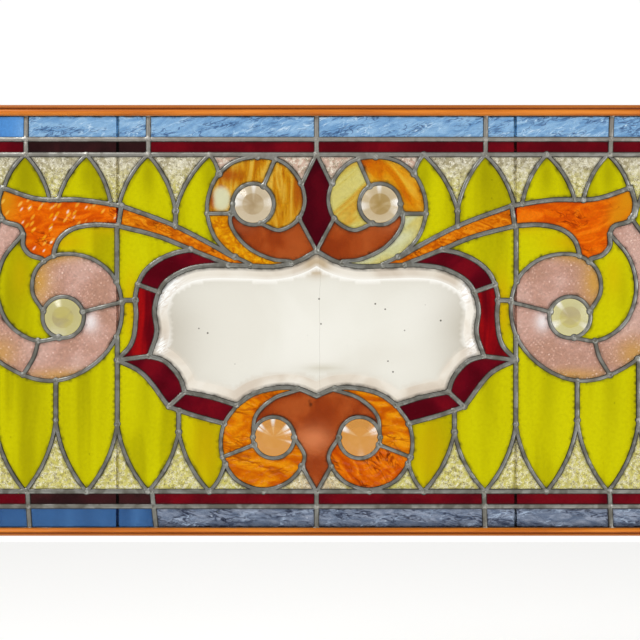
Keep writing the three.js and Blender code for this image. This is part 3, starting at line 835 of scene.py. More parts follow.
def add_outline(line, closed):
    """Keeps the stretches of an outline that no came or joint covers, and one step more, so that
    crossing outlines are cut exactly where they cross."""
    bare = np.minimum(came_share(line), joint_share(line)) > BARE_SHARE
    wide = bare | np.roll(bare, 1) | np.roll(bare, -1)
    start = sum(len(points) for points in outline_points)
    number = np.arange(len(line))
    pair = np.column_stack([number, np.roll(number, -1)])[: len(line) if closed else -1]
    pair = pair[wide[pair].all(axis=1)]
    if len(pair):
        used = np.unique(pair)
        outline_points.append(line[used])
        outline_edges.append(start + np.searchsorted(used, pair))


for line, closed, half in cames:
    for share in LEAD_ROWS:
        for side in (1, -1) if share else (1,):
            row = offset(line, side * share * half, closed)
            if share == 1:
                add_outline(row, closed)
            else:
                own = (came_share(row) > share - 0.03) & (joint_share(row) > 0.9)
                inner_points.append(row[own])
for centre, radius in zip(joints, joint_radius):
    for share in JOINT_RINGS:
        turn = np.linspace(0, 2 * np.pi, 4 if share < 0.1 else 16, endpoint=False)
        ring = centre + radius * share * np.column_stack([np.cos(turn), np.sin(turn)])
        if share == 1:
            add_outline(ring, True)
        else:
            inner_points.append(ring)

outline = np.vstack(outline_points)
lead_flat, lead_triangles, _ = triangulated(
    np.vstack([outline, *inner_points]), np.vstack(outline_edges)
)
middle = lead_flat[lead_triangles].mean(axis=1)
lead_triangles = lead_triangles[np.minimum(came_share(middle), joint_share(middle)) < 0.99]


def pinched(triangles):
    """Corners that the outline passes twice: more than two edges of single triangles meet there."""
    edges = np.sort(triangles[:, [[0, 1], [1, 2], [2, 0]]].reshape(-1, 2), axis=1)
    edges, times = np.unique(edges, axis=0, return_counts=True)
    return np.flatnonzero(np.bincount(edges[times == 1].ravel(), minlength=len(lead_flat)) > 2)


# Where two cames only just touch, the smallest triangle is filed away until they don't.
while len(twice := pinched(lead_triangles)):
    a, b, c = lead_flat[lead_triangles].transpose(1, 0, 2)
    area = np.abs((b - a)[:, 0] * (c - a)[:, 1] - (b - a)[:, 1] * (c - a)[:, 0])
    area[~np.isin(lead_triangles, twice).any(axis=1)] = np.inf
    lead_triangles = np.delete(lead_triangles, area.argmin(), axis=0)
print("lead:", len(lead_flat), "points,", len(lead_triangles), "triangles in front")

# %% The net as one closed mesh
share_of_came = np.minimum(came_share(lead_flat), 1)
share_of_joint = np.minimum(joint_share(lead_flat), 1)
came_height = (CROWN - LIP) * np.sqrt(1 - share_of_came**2)
joint_height = (SOLDER - LIP) * np.sqrt(1 - share_of_joint**2)
lead_height = LIP + (came_height**SEAM + joint_height**SEAM) ** (1 / SEAM)
on_joint = np.clip(1.6 * (1 - share_of_joint), 0, 1)
lead_height += 0.06 * waves(lead_flat, 11, 16) + (0.01 + 0.07 * on_joint) * waves(lead_flat, 12, 5)
lead_height = np.minimum(lead_height, LEAD_FRONT)

# The flank mask darkens each came towards its edges: patina and putty, and painted shade.
lead_masks = {"solder": on_joint, "flank_patina_and_shade": share_of_came * (1 - on_joint)}
lead_mesh = closed_mesh("lead_came_net_soldered", lead_flat, lead_triangles, lead_triangles, -lead_height,
                        lead_height, lead_masks, 1.0)
print("lead mesh:", len(lead_mesh.polygons), "faces")

# %% Lead and solder as a material, lighter high up by painted light, with flanks darkened by patina and painted shade
lead, tree, shader, place = material("lead_with_solder", Metallic=0.75, IOR=1.6)
mottle = streaked(tree, place, (132, 132, 126), (112, 111, 104), (92, 90, 82), 45.0, 1.2)
tinned = streaked(tree, place, (168, 168, 162), (124, 123, 114), (86, 83, 70), 200.0, 1.5)
on_solder = span(tree, painted(tree, "solder"), 0.2, 0.9, 0, 0.8)
colour = blend(tree, on_solder, mottle["Color"], tinned["Color"])
# Painted light: the lead is lighter towards the top of the window.
above_floor = node(tree, "SeparateXYZ", Vector=place).outputs["Z"]
painted_light_high_up = span(tree, above_floor, 0.46, 0.5, 0.0, 0.25)
colour = blend(tree, painted_light_high_up, colour, light(176, 170, 164))
# The flanks darken towards the glass: patina and putty, and painted shade.
flank_patina_and_shade = span(tree, painted(tree, "flank_patina_and_shade"), 0.5, 0.95, 0.0, 0.92)
feed(tree, shader["Base Color"], blend(tree, flank_patina_and_shade, colour, light(26, 24, 19)))
feed(tree, shader["Roughness"], span(tree, mottle["Depth"], 0.0, 1.0, 0.38, 0.62))
roughen(tree, shader, use(tree, grain, Place=place, Size=260.0, Rough=0.6)["Height"], FINE_DEPTH)
piece("lead_came_net_soldered", lead_mesh, lead, "lead", "lead_came_net")

# %% [markdown]
# ## The panes
# A glazier cuts each pane a little smaller than its opening, so that the heart of the came fits
# between two panes, and the flanges hide the cut edge. Here the outline of the opening is moved
# inwards by half the heart. The face is filled with evenly spread points and lifted by the relief
# of the rolled glass. The back is flat. Masks are kept with the mesh: how near the lead is, for the
# dirt and painted shade along it, and where a second colour is washed over the glass. Some washes
# are the glass's own colour, others are painted shade and painted sheen.

# %% Fill an outline with even triangles
HEART_HALF = 0.7
FRONT, BACK = -1.5, 1.5
RIM_REACH = 0.9


def inset(loop, by):
    """The outline moved inwards, without the points that would come too near to it elsewhere."""
    moved = offset(loop, by, closed=True)
    return moved[nearest(moved, loop, closed=True)[0] > 0.96 * by]


def is_inside(points, loop):
    """Whether a ray to the right crosses the outline an odd number of times."""
    a, b = loop, np.roll(loop, -1, axis=0)
    z = points[:, 1:]
    spans = (a[:, 1] > z) != (b[:, 1] > z)
    rise = np.where(a[:, 1] == b[:, 1], 1e-9, b[:, 1] - a[:, 1])
    cross = a[:, 0] + (z - a[:, 1]) * (b[:, 0] - a[:, 0]) / rise
    return (spans & (points[:, :1] < cross)).sum(axis=1) % 2 == 1


def lattice(loop, pitch):
    """Points of a triangular lattice inside an outline, clear of it by half a pitch."""
    low, high = loop.min(axis=0), loop.max(axis=0)
    row_height = pitch * np.sqrt(3) / 2
    z = np.arange(low[1], high[1], row_height)
    x = np.arange(low[0], high[0], pitch)
    grid = np.stack(np.meshgrid(x, z), axis=-1)
    grid[1::2, :, 0] += pitch / 2
    spots = grid.reshape(-1, 2)
    spots = spots[is_inside(spots, loop)]
    return spots[nearest(spots, loop, closed=True)[0] > 0.5 * pitch] if len(spots) else spots


def filled(loop, inner):
    """Triangles inside a closed outline, over its points and the inner ones."""
    number = np.arange(len(loop))
    edges = np.column_stack([number, np.roll(number, -1)])
    flat, inside, _ = triangulated(np.vstack([loop, inner]), edges, [number.tolist()], 1)
    return flat, inside


def pane_mesh(name, loop, pitch, relief):
    """A pane with its relief in front and a flat back. The relief gives a height and masks. Where
    there is a wash, the back gets the front's triangles and masks, so that both faces tint alike."""
    rim_line = even_steps(inset(loop, HEART_HALF), pitch, closed=True)
    flat, front = filled(rim_line, lattice(rim_line, pitch))
    height, masks = relief(flat)
    back = front if masks else filled(rim_line, np.empty((0, 2)))[1]
    back_share = 1.0 if masks else 0.0
    lead_gap = nearest(flat, loop, closed=True)[0] - CAME_HALF
    # The rim is where dirt and painted shade darken the glass along the lead.
    masks["rim"] = np.exp(-np.maximum(lead_gap, 0) / RIM_REACH)
    flat_back = np.full(len(flat), BACK)
    return closed_mesh(name, flat, front, back, FRONT - height, flat_back, masks, back_share)


# %% Reliefs of rolled glass
def calm(seed, depth=0.05, length=26.0):
    """Cathedral glass: hardly more than a slow swell."""
    return lambda flat: (depth * waves(flat, seed, length), {})


def rippled(seed, length=9.0, turn=90.0, spread=70.0, depth=0.25):
    """Water glass: bent ridges that cross `turn`."""
    def relief(flat):
        bent = flat + 2.5 * np.column_stack([waves(flat, seed + 1, 18), waves(flat, seed + 2, 18)])
        return depth * waves(bent, seed, length, turn, spread), {}
    return relief


def pebbled(seed, length=4.6, depth=0.22):
    """Granite glass: round bumps without a direction, with smaller ones on them."""
    def relief(flat):
        return depth * (waves(flat, seed, length) + 0.5 * waves(flat, seed + 1, 0.55 * length)), {}
    return relief


def soft_spot(flat, x, z, width, height, strength=1.0, hard=1):
    """A spot: its strength in the middle, fading as a bell curve, steeper where it is hard."""
    return strength * np.exp(-((((flat - (x, z)) / (width, height)) ** 2).sum(axis=1) ** hard))


def spotted(flat, spots):
    """Soft spots added up, held between 0 and 1."""
    return np.clip(sum(soft_spot(flat, *spot) for spot in spots), 0, 1)


def washed(relief, **masks):
    """A relief with masks. A mask is a list of soft spots, or a pair of heights between which it
    fades from 0 to 1."""
    def both(flat):
        height, found = relief(flat)
        for name, given in masks.items():
            if isinstance(given, tuple):
                found[name] = np.clip((flat[:, 1] - given[0]) / (given[1] - given[0]), 0, 1)
            else:
                found[name] = spotted(flat, given)
        return height, found
    return both


# %% The glasses of this window
FLAT_LYING = (0.3, 1, 1)
UPRIGHT = (1, 1, 0.22)
SLANTED = (0.4, 1, 1)
# In these recipes the lines are painted shade and light of the rolled surface, the glints are painted
# highlights, and the shadow, shade and sheen washes are painted shade and highlights.
GLASSES = {
    "blue_water_glass": dict(
        pale=(150, 190, 226), body=(130, 173, 214), deep=(110, 156, 202), size=120, bend=1.5,
        stretch=FLAT_LYING, turn=16, grain_share=0.1, rough=0.16,
        lines=[((58, 88, 130), 190, 0.034, FLAT_LYING, 16, 0.5),
               ((196, 220, 240), 170, 0.026, FLAT_LYING, 22, 0.53)],
        painted_glints=[((240, 248, 252), 210, 0.22, (0.5, 1, 1), 30, 0.05)],
    ),
    "blue_bright_glass": dict(
        pale=(120, 174, 232), body=(88, 150, 218), deep=(72, 134, 204), stretch=UPRIGHT, rough=0.16,
    ),
    "blue_deep_glass": dict(
        pale=(70, 114, 166), body=(58, 99, 150), deep=(50, 88, 138), stretch=UPRIGHT, rough=0.16,
    ),
    # The grey water glass of the bottom strips darkens towards its lower edge: painted shade of the frame.
    "blue_grey_water_glass": dict(
        pale=(148, 157, 176), body=(118, 129, 149), deep=(94, 108, 132), size=110, bend=1.5,
        stretch=FLAT_LYING, turn=-8, grain_share=0.1, rough=0.16, washes={"under": (58, 64, 80)},
        lines=[((38, 44, 62), 165, 0.036, FLAT_LYING, -8, 0.48),
               ((166, 182, 204), 160, 0.026, FLAT_LYING, 8, 0.53)],
        painted_glints=[((226, 234, 244), 210, 0.22, (0.5, 1, 1), -20, 0.05)],
    ),
    "red_glass": dict(pale=(118, 8, 22), body=(104, 4, 19), deep=(90, 2, 16), specks=0.02, rough=0.1),
    "red_dark_glass": dict(pale=(62, 26, 28), body=(48, 22, 24), deep=(38, 16, 18), specks=0.02, rough=0.1),
    "ruby_glass": dict(pale=(118, 6, 22), body=(100, 2, 20), deep=(82, 0, 14), specks=0.02),
    "ruby_bright_glass": dict(
        pale=(166, 12, 14), body=(134, 4, 14), deep=(94, 0, 12), size=14, stretch=(3, 1, 0.6), specks=0.02,
    ),
    "ruby_diamond_glass": dict(pale=(88, 2, 18), body=(76, 0, 15), deep=(66, 0, 12), specks=0.02),
    "yellow_glass": dict(
        pale=(208, 203, 2), body=(201, 195, 0), deep=(174, 167, 0), size=20, bend=0.3,
        stretch=(1, 1, 0.15), specks=0.08, grain_share=0.07, grain_size=240,
        washes={"shadow": (148, 142, 0), "gold": (208, 170, 0)},
    ),
    "granite_glass": dict(
        pale=(216, 210, 184), body=(194, 186, 156), deep=(170, 160, 126), size=60, clear=0.8, rough=0.3,
        skin_depth=0.12, grain_size=700, washes={"low": (204, 196, 104), "rosy": (204, 172, 154)},
        lines=[((246, 242, 226), 420, 0.06, EVEN, 0, 0.44), ((120, 108, 78), 460, 0.045, EVEN, 0, 0.5)],
        painted_glints=[((255, 255, 250), 520, 0.32, EVEN, 0, 0.14)],
    ),
    "orange_leaf_glass": dict(
        pale=(242, 122, 10), body=(230, 98, 0), deep=(208, 78, 0), size=60, bend=2,
        stretch=(0.45, 1, 1), turn=12, washes={"amber": (214, 138, 14)},
        lines=[((150, 48, 0), 120, 0.026, SLANTED, -15, 0.57)],
        painted_glints=[((255, 230, 200), 150, 0.2, SLANTED, 52, 0.02)],
    ),
    "orange_stem_glass": dict(
        pale=(238, 148, 22), body=(222, 118, 4), deep=(182, 80, 0), size=100, bend=2,
        stretch=(0.5, 1, 1), turn=-20, lines=[((110, 40, 0), 170, 0.03, (0.5, 1, 1), -30, 0.56)],
        painted_glints=[((255, 226, 180), 190, 0.2, SLANTED, 50, 0.03)],
    ),
    "amber_water_glass": dict(
        pale=(236, 152, 12), body=(220, 120, 0), deep=(196, 88, 0), size=70, bend=1.5,
        stretch=SLANTED, turn=-12, lines=[((160, 72, 0), 95, 0.024, FLAT_LYING, -8, 0.5)],
    ),
    "orange_water_glass": dict(
        pale=(238, 130, 8), body=(216, 98, 0), deep=(190, 70, 0), size=70, bend=1.5,
        stretch=SLANTED, turn=-50, lines=[((124, 40, 0), 95, 0.026, FLAT_LYING, -52, 0.49)],
    ),
    # The pink glass has a painted sheen, a painted highlight, beside the jewel.
    "pink_glass": dict(
        pale=(212, 174, 160), body=(202, 159, 143), deep=(190, 146, 126), size=16, clear=0.9, rough=0.2,
        grain_share=0.2, grain_size=330, skin_depth=0.14,
        washes={"amber": (202, 154, 74), "sheen": (240, 234, 234)},
        painted_glints=[((238, 212, 200), 330, 0.34, (0.7, 1, 1), 40, 0.34)],
    ),
    # The copper glass has a painted sheen, a painted highlight; the blemish is a dark spot in the glass.
    "copper_glass": dict(
        pale=(176, 84, 34), body=(162, 69, 22), deep=(146, 56, 16), size=24, rough=0.2, clear=0.9,
        washes={"sheen": (214, 132, 84), "blemish": (60, 20, 8)},
    ),
    "amber_opal_glass": dict(
        pale=(222, 178, 66), body=(204, 142, 10), deep=(176, 98, 4), size=46, stretch=(1.6, 1, 0.3),
        bend=1.8, rough=0.25, clear=0.9, washes={"milk": (214, 212, 176), "brown": (168, 82, 12)},
    ),
    "amber_streak_glass": dict(
        pale=(230, 184, 56), body=(218, 142, 4), deep=(202, 106, 0), size=40, stretch=(0.3, 1, 1.2),
        turn=-50, bend=1.2, rough=0.25, clear=0.9, washes={"brown": (196, 74, 0)},
    ),
    "cream_opal_glass": dict(
        pale=(214, 206, 132), body=(208, 192, 92), deep=(210, 164, 56), size=34, stretch=(0.3, 1, 1.2),
        turn=38, bend=1.2, rough=0.25, clear=0.9,
    ),
    "green_cream_opal_glass": dict(
        pale=(218, 218, 184), body=(208, 206, 152), deep=(208, 194, 112), size=34, stretch=FLAT_LYING,
        turn=40, rough=0.25, clear=0.9,
    ),
    "orange_opal_glass": dict(
        pale=(236, 172, 18), body=(220, 142, 0), deep=(196, 108, 0), size=90, bend=1.8, rough=0.2,
        clear=0.95, specks=0.2, speck_size=160,
    ),
}
# The left leaf is one more sheet of the same glass, with far more painted glints in its ripples.
GLASSES["glinting_leaf_glass"] = GLASSES["orange_leaf_glass"] | dict(
    painted_glints=[((255, 242, 232), 160, 0.34, SLANTED, 52, 0.7)]
)
glasses = {name: glass(name, **recipe) for name, recipe in GLASSES.items()}
print("glasses:", len(glasses))

# %% [markdown]
# ### Cutting the panes
#
# Each pane of the design has a name, a spot inside it, the glass that it is cut from, and the
# relief of that glass. Most are the same on both sides of the window. Where the old panes differ,
# the left side has an entry of its own.

# %% Panes that stand once on each side
PITCH_CALM = 4.5
PITCH_FINE = 1.9
FINELY_ROLLED = ("water", "granite", "leaf", "stem", "opal")

# For each pane its spot, its slot, its glass, its relief, and its washes as soft spots; a sheen among them
# is a painted highlight.
SIDE_PANES = {
    "top_scroll_inner_crescent": ((33, 430), "opal_glass", "cream_opal_glass", calm(21), {}),
    "top_scroll_outer_crescent": ((115, 445), "opal_glass", "amber_streak_glass", calm(22),
                                  {"brown": [(52, 468, 16, 12)]}),
    "top_scroll_lower_crescent": ((125, 385), "opal_glass", "green_cream_opal_glass", calm(23), {}),
    "top_scroll_copper_pane": ((60, 372), "copper_glass", "copper_glass", calm(24),
                               {"sheen": [(92, 392, 14, 9, 0.2)]}),
    "bottom_scroll_upper_crescent": ((100, 135), "orange_glass", "amber_water_glass", rippled(31, 8), {}),
    "bottom_scroll_lower_crescent": ((60, 78), "orange_glass", "orange_water_glass", rippled(32, 8), {}),
    "acanthus_leaf": ((320, 408), "orange_glass", "orange_leaf_glass", rippled(33, 8, 110, 90, 0.2),
                      {"amber": [(396, 428, 20, 30), (380, 400, 12, 16, 0.6)]}),
    "leaf_stem": ((190, 386), "orange_glass", "orange_stem_glass", rippled(34, 7, 60, 90, 0.25), {}),
    "side_scroll_inner_pane": (
        (300, 325), "pink_glass", "pink_glass", calm(35, 0.12, 9),
        {"amber": [(354, 322, 17, 34), (336, 354, 30, 9, 0.8), (290, 356, 30, 5, 0.5)]},
    ),
    "side_scroll_lower_pane": ((290, 240), "pink_glass", "pink_glass", calm(36, 0.12, 9),
                               {"amber": [(322, 202, 50, 9, 0.8)], "sheen": [(287, 271, 9, 12, 0.9)]}),
    "side_scroll_outer_pane": ((425, 300), "pink_glass", "pink_glass", calm(37, 0.2, 7),
                               {"amber": [(404, 230, 22, 20, 0.8), (446, 300, 15, 70, 0.8)]}),
    "yellow_crescent": ((386, 300), "yellow_glass", "yellow_glass", calm(38, 0.1, 12),
                        {"gold": [(376, 330, 14, 30, 0.4)], "shadow": [(390, 308, 8, 34, 0.35)]}),
    "ruby_top_pane": ((185, 343), "ruby_glass", "ruby_glass", calm(39), {}),
    "ruby_side_pane": ((217, 275), "ruby_glass", "ruby_bright_glass", calm(40), {}),
    "ruby_shoulder_pane": ((206, 200), "ruby_glass", "ruby_glass", calm(41), {}),
    "ruby_foot_pane": ((144, 162), "ruby_glass", "ruby_glass", calm(42), {}),
}
LEFT_INSTEAD = {
    "top_scroll_inner_crescent": ("amber_opal_glass", calm(51), {"brown": [(21, 436, 8, 26, 0.85)]}),
    "top_scroll_outer_crescent": (
        "amber_opal_glass", calm(52),
        {"milk": [(121, 427, 12, 16, 1, 4)], "brown": [(114, 457, 16, 9), (134, 424, 4, 12)]},
    ),
    "top_scroll_lower_crescent": ("orange_opal_glass", calm(53, 0.12, 5), {}),
    "acanthus_leaf": ("glinting_leaf_glass", rippled(54, 8, 30, 90, 0.25),
                      {"amber": [(396, 425, 16, 26)]}),
    "bottom_scroll_lower_crescent": ("amber_water_glass", rippled(55, 8, 100, 50), {}),
}


def cut(name, spot, slot, glass_name, relief, stands_for, fine=False):
    """One pane, from the spot that it lies on to the finished piece. Rippled and granite glass
    needs a fine mesh to hold its relief."""
    fine = fine or any(word in glass_name for word in FINELY_ROLLED)
    mesh = pane_mesh(name, opening_at(spot), PITCH_FINE if fine else PITCH_CALM, relief)
    piece(name, mesh, glasses[glass_name], slot, stands_for)


for side, sign in (("left", -1), ("right", 1)):
    for name, ((x, z), slot, glass_name, relief, masks) in SIDE_PANES.items():
        if side == "left" and name in LEFT_INSTEAD:
            glass_name, relief, masks = LEFT_INSTEAD[name]
        masks = {key: [(sign * at, *rest) for at, *rest in spots] for key, spots in masks.items()}
        full = f"{name}_{side}"
        cut(full + "_pane", (sign * x, z), slot, glass_name, washed(relief, **masks), full)
print("panes that stand once on each side:", 2 * len(SIDE_PANES))

# %% Panes of the middle line
# The heart's painted sheen is a painted highlight low in the middle.
heart = washed(calm(62, 0.06, 20), sheen=[(-4, 122, 22, 15, 0.85)],
               blemish=[(-7.3, 165.4, 2.0, 2.6), (-9.5, 170, 1.2, 2, 0.6)])
cut("ruby_diamond_pane", (0, 430), "ruby_glass", "ruby_diamond_glass", calm(61), "ruby_diamond")
cut("copper_heart_pane", (0, 140), "copper_glass", "copper_glass", heart, "copper_heart", fine=True)

# %% Petals, and the yellow behind the leaf
def cut_yellow(name, spot, seed, masks, stands_for):
    """A pane of the yellow glass, with its olive washes of painted shadow and its golden washes."""
    cut(name, spot, "yellow_glass", "yellow_glass", washed(calm(seed, 0.1, 10), **masks), stands_for)


for side, sign in (("left", -1), ("right", 1)):
    above, below = f"yellow_petals_above_{side}", f"yellow_petals_below_{side}"
    for k, x in enumerate(petal_x):
        if k < PETAL_COUNT - 1:
            apex = {"shadow": [(sign * x, 458, 9, 26, 0.62)]}
            cut_yellow(f"yellow_petal_above_{side}_{k + 1}", (sign * x, 457), 70 + k, apex, above)
        bands = [(sign * (x + 3), 205, 10, 75, 0.42), (sign * (x - 22), 215, 5, 60, 0.2)]
        foot = {"gold": [(sign * 140, 110, 30, 60, 0.55)], "shadow": bands}
        cut_yellow(f"yellow_petal_below_{side}_{k + 1}", (sign * x, 100), 80 + k, foot, below)
    cut_yellow(f"yellow_petal_end_{side}", (sign * petal_x[-1], 420), 90, {}, below)
    golden = [(330, 372, 40, 14, 0.8), (262, 392, 34, 10, 0.6), (236, 290, 12, 40, 0.8)]
    golden = {"gold": [(sign * x, *rest) for x, *rest in golden]}
    for k, (x, z) in enumerate(((235, 360), (290, 375), (240, 270))):
        cut_yellow(f"yellow_behind_leaf_{side}_{k + 1}", (sign * x, z), 95 + k, golden,
                   f"yellow_behind_leaf_{side}")

# %% Clear granite glass in the corners of the petals
def cut_granite(name, spot, seed, masks, stands_for):
    """A pane of granite glass, with its yellow and rosy washes."""
    cut(name, spot, "clear_textured_glass", "granite_glass", washed(pebbled(seed), **masks), stands_for)


granite_above = [(22, 472), (115, 473), *[(x, 460) for x in gap_x], (475, 470)]
granite_below = [(25, 68), (112, 66), *[(x, 90) for x in gap_x], (478, 75)]
for side, sign in (("left", -1), ("right", 1)):
    for k, (x, z) in enumerate(granite_above):
        masks = {"rosy": (400, 410)} if k < 2 else {"low": (472, 438)}
        name = f"granite_pane_above_{side}_{k + 1}"
        cut_granite(name, (sign * x, z), 100 + k, masks, "clear_panes_above")
    for k, (x, z) in enumerate(granite_below):
        masks = {"rosy": [(0, 60, 40, 40, 0.7)], "low": (-90, 55)}
        name = f"granite_pane_below_{side}_{k + 1}"
        cut_granite(name, (sign * x, z), 110 + k, masks, "clear_panes_below")
print("granite panes:", 2 * len(granite_above + granite_below))

# %% The strips of both borders
STRIP_ENDS = [-EDGE_LINE["x"], -370, -214, 0, 214, 370, EDGE_LINE["x"]]
BORDERS = {
    "blue": ("blue_glass", "blue_border_glass", BLUE_RED, EDGE_LINE),
    "red": ("red_glass", "red_border_glass", RED_FIELD, BLUE_RED),
}


def strip_glass(colour, edge, k):
    """The glass of one strip: most of a row match, but old repairs and odd sheets don't."""
    if colour == "red":
        return "red_dark_glass" if k == 1 and edge in ("top", "bottom") else "red_glass"
    if edge == "bottom":
        return "blue_deep_glass" if k < 2 else "blue_grey_water_glass"
    return "blue_bright_glass" if edge == "top" and k == 0 else "blue_water_glass"


for colour, (slot, plain_node, inner, outer) in BORDERS.items():
    middle_x = (inner["x"] + outer["x"]) / 2
    spots = {(edge, k): (sign * middle_x, z)
             for edge, sign in (("left", -1), ("right", 1)) for k, z in enumerate((160, 400))}
    for k, (x0, x1) in enumerate(zip(STRIP_ENDS, STRIP_ENDS[1:])):
        spots["bottom", k] = ((x0 + x1) / 2, (inner["low"] + outer["low"]) / 2)
        spots["top", k] = ((x0 + x1) / 2, (inner["high"] + outer["high"]) / 2)
    for number, ((edge, k), spot) in enumerate(spots.items()):
        kind = strip_glass(colour, edge, k)
        relief = rippled(200 + number, 7, 80, 80) if "water" in kind else calm(200 + number)
        # Painted shade towards the lower edge of the bottom strips.
        if kind == "blue_grey_water_glass":
            relief = washed(relief, under=(20, 9))
        cut(f"{colour}_border_{edge}_{k + 1}", spot, slot, kind, relief, plain_node)
    print(colour, "strips:", len(spots))

# %% [markdown]
# ## The thick plate and the jewels
#
# The plate in the middle is polished plate glass, 6 mm thick, with a bevel ground all round its
# front. A bevel follows the outline, so its height depends only on the distance from the outline.
# The jewels are round bevelled roundels: a profile turned about an axis through the glass.

# %% The bevelled plate
PLATE_FRONT = -4.85
BEVEL = 14.0
PLATE_STEP = 2.0
BEVEL_ROWS = (0, 4.5, 9, 13.2, BEVEL)

plate_loop = opening_at((0, 263))


def plate_line(away, step=PLATE_STEP):
    """The outline of the plate's opening, moved inwards."""
    return even_steps(inset(plate_loop, away), step, closed=True)


rows = [plate_line(CAME_HALF + away) for away in BEVEL_ROWS]
field = lattice(plate_line(CAME_HALF + BEVEL + 1.0, 3.0), PITCH_CALM)
flat, front = filled(plate_line(HEART_HALF), np.vstack([*rows, field]))
away, foot = nearest(flat, plate_loop, closed=True)
gap = away - CAME_HALF
plate_front = FRONT + (PLATE_FRONT - FRONT) * np.clip(gap / BEVEL, 0, 1)

# %% Masks of the plate, mostly painted light and shade: the bevel bends the view outwards and shows other parts of the room, so the shade, the shadow under the notch, the highlight on the arris and the white flashes on the bevel are painted
# Painted flashes on the bevel, as (x, z, width, height, strength).
PAINTED_GLEAMS = [(-186, 320, 14, 15, 1.5), (-198, 302, 9, 16, 1.5), (-198, 240, 8, 11, 1.3),
          (197, 240, 7, 12, 1.2), (190, 308, 8, 16, 1.2)]
facing = (foot - flat) / np.maximum(away, 1e-6)[:, None]
edge_shade = 0.2 * np.exp(-np.maximum(gap - BEVEL, 0) / 12)
side_shades = soft_spot(flat, -190, 258, 44, 62, 0.55), soft_spot(flat, 190, 262, 44, 62, 0.6)
plate_masks = {
    "bevel": np.clip((BEVEL - gap) / 0.5 + 0.5, 0, 1),
    # Painted highlight along the inner edge of the bevel, strongest at the top.
    "painted_arris_highlight": np.exp(-(((gap - BEVEL) / 0.9) ** 2)) * np.clip(0.35 + facing[:, 1], 0, 1),
    "shade": (gap > BEVEL - 1) * (edge_shade + side_shades[0] + side_shades[1]),
    # Painted shadow under the top notch.
    "painted_notch_shadow": spotted(flat, [(0, 345, 17, 9, 1.3), (0, 334, 13, 8, 0.7)]),
    # Painted white flashes on the bevel.
    "painted_flash": spotted(flat, PAINTED_GLEAMS) * (gap < BEVEL),
    "smudge": soft_spot(flat, 8, 212, 22, 4.5, 0.5),
    "rim": np.exp(-np.maximum(gap, 0) / 0.8),
}
plate_mesh = closed_mesh("centre_plate_bevelled", flat, front, front, plate_front,
                         np.full(len(flat), BACK), plate_masks, 1.0)
print("plate:", len(plate_mesh.polygons), "faces")

# %% Plate glass, with its tints, its painted shade, shadow, highlight and flashes, its old crack and its specks
CRACK_X = 4.0
CRACK_WIDTH = 0.35
CRACK_SWAY = 5
CRACK_SEEN = 0.35

plate_glass, tree, shader, place = material(
    "bevelled_plate_glass", Roughness=0.02, IOR=1.52, Transmission_Weight=1.0, Specular_Tint=DULLED
)
colour = streaked(tree, place, (243, 241, 232), (239, 237, 227), (234, 231, 220), 6.0, 0.4)["Color"]
# The tone seen through the bevel, painted.
painted_view_through_bevel = streaked(tree, place, (238, 232, 220), (229, 220, 205), (214, 201, 184), 16.0, 0.8)
plate_tints = {
    "shade": light(186, 178, 162),
    "bevel": painted_view_through_bevel["Color"],
    "painted_notch_shadow": light(196, 176, 146),
    "painted_arris_highlight": light(255, 254, 248),
    "smudge": light(190, 182, 156),
}
for mask, tint in plate_tints.items():
    colour = blend(tree, painted(tree, mask), colour, tint)
# Painted flashes: white with a hatching of slightly darker lines.
hatched = placed(tree, place, (0.25, 1, 1), 35)
hatching = use(tree, wandering, Place=hatched, Size=210.0, Width=0.05, Rare=0.4)["Line"]
white = blend(tree, hatching, light(255, 255, 252), light(222, 210, 196))
colour = blend(tree, painted(tree, "painted_flash"), colour, white)

across = node(tree, "SeparateXYZ", Vector=place).outputs["X"]
by_height = placed(tree, place, (0, 0, 1))
wobble = node(tree, "TexNoise", Vector=by_height, Scale=26.0, Detail=3.0).outputs[0]
sway = calc(tree, "MULTIPLY", calc(tree, "SUBTRACT", wobble, 0.5), CRACK_SWAY * MM)
from_crack = calc(tree, "SUBTRACT", calc(tree, "SUBTRACT", across, CRACK_X * MM), sway)
widths = calc(tree, "DIVIDE", calc(tree, "ABSOLUTE", from_crack), CRACK_WIDTH * MM)
crack = calc(tree, "SUBTRACT", 1.0, widths, clamp=True)
colour = blend(tree, calc(tree, "MULTIPLY", crack, CRACK_SEEN), colour, light(120, 114, 96))
# Dirt and painted shade along the lead, and many specks of dirt.
dirt_and_shade_share = use(tree, dirt_and_shade, Place=place, Rim=painted(tree, "rim"), Speck_Size=46.0, Specks=0.7)["Dirt And Shade"]
feed(tree, shader["Base Color"], blend(tree, dirt_and_shade_share, colour, GRIME_AND_SHADE))
piece("centre_plate_bevelled", plate_mesh, plate_glass, "bevel_glass", "centre_bevel_plate")

# %% The jewels, turned on a lathe
JEWEL_RADIUS = RING_RADIUS - HEART_HALF
JEWEL_FACE = 13.6
JEWEL_SIDES = 96
ARRIS = 0.35


def fans(angle, flashes):
    """How strongly each angle gets a painted flash: round every flash a bell with a flat top. The
    turn from the flash is taken the short way round."""
    total = 0
    for at, half_width, strength in flashes:
        turn = np.angle(np.exp(1j * (angle - np.radians(at)))) / np.radians(half_width)
        total = total + strength * np.exp(-(turn**4))
    return total


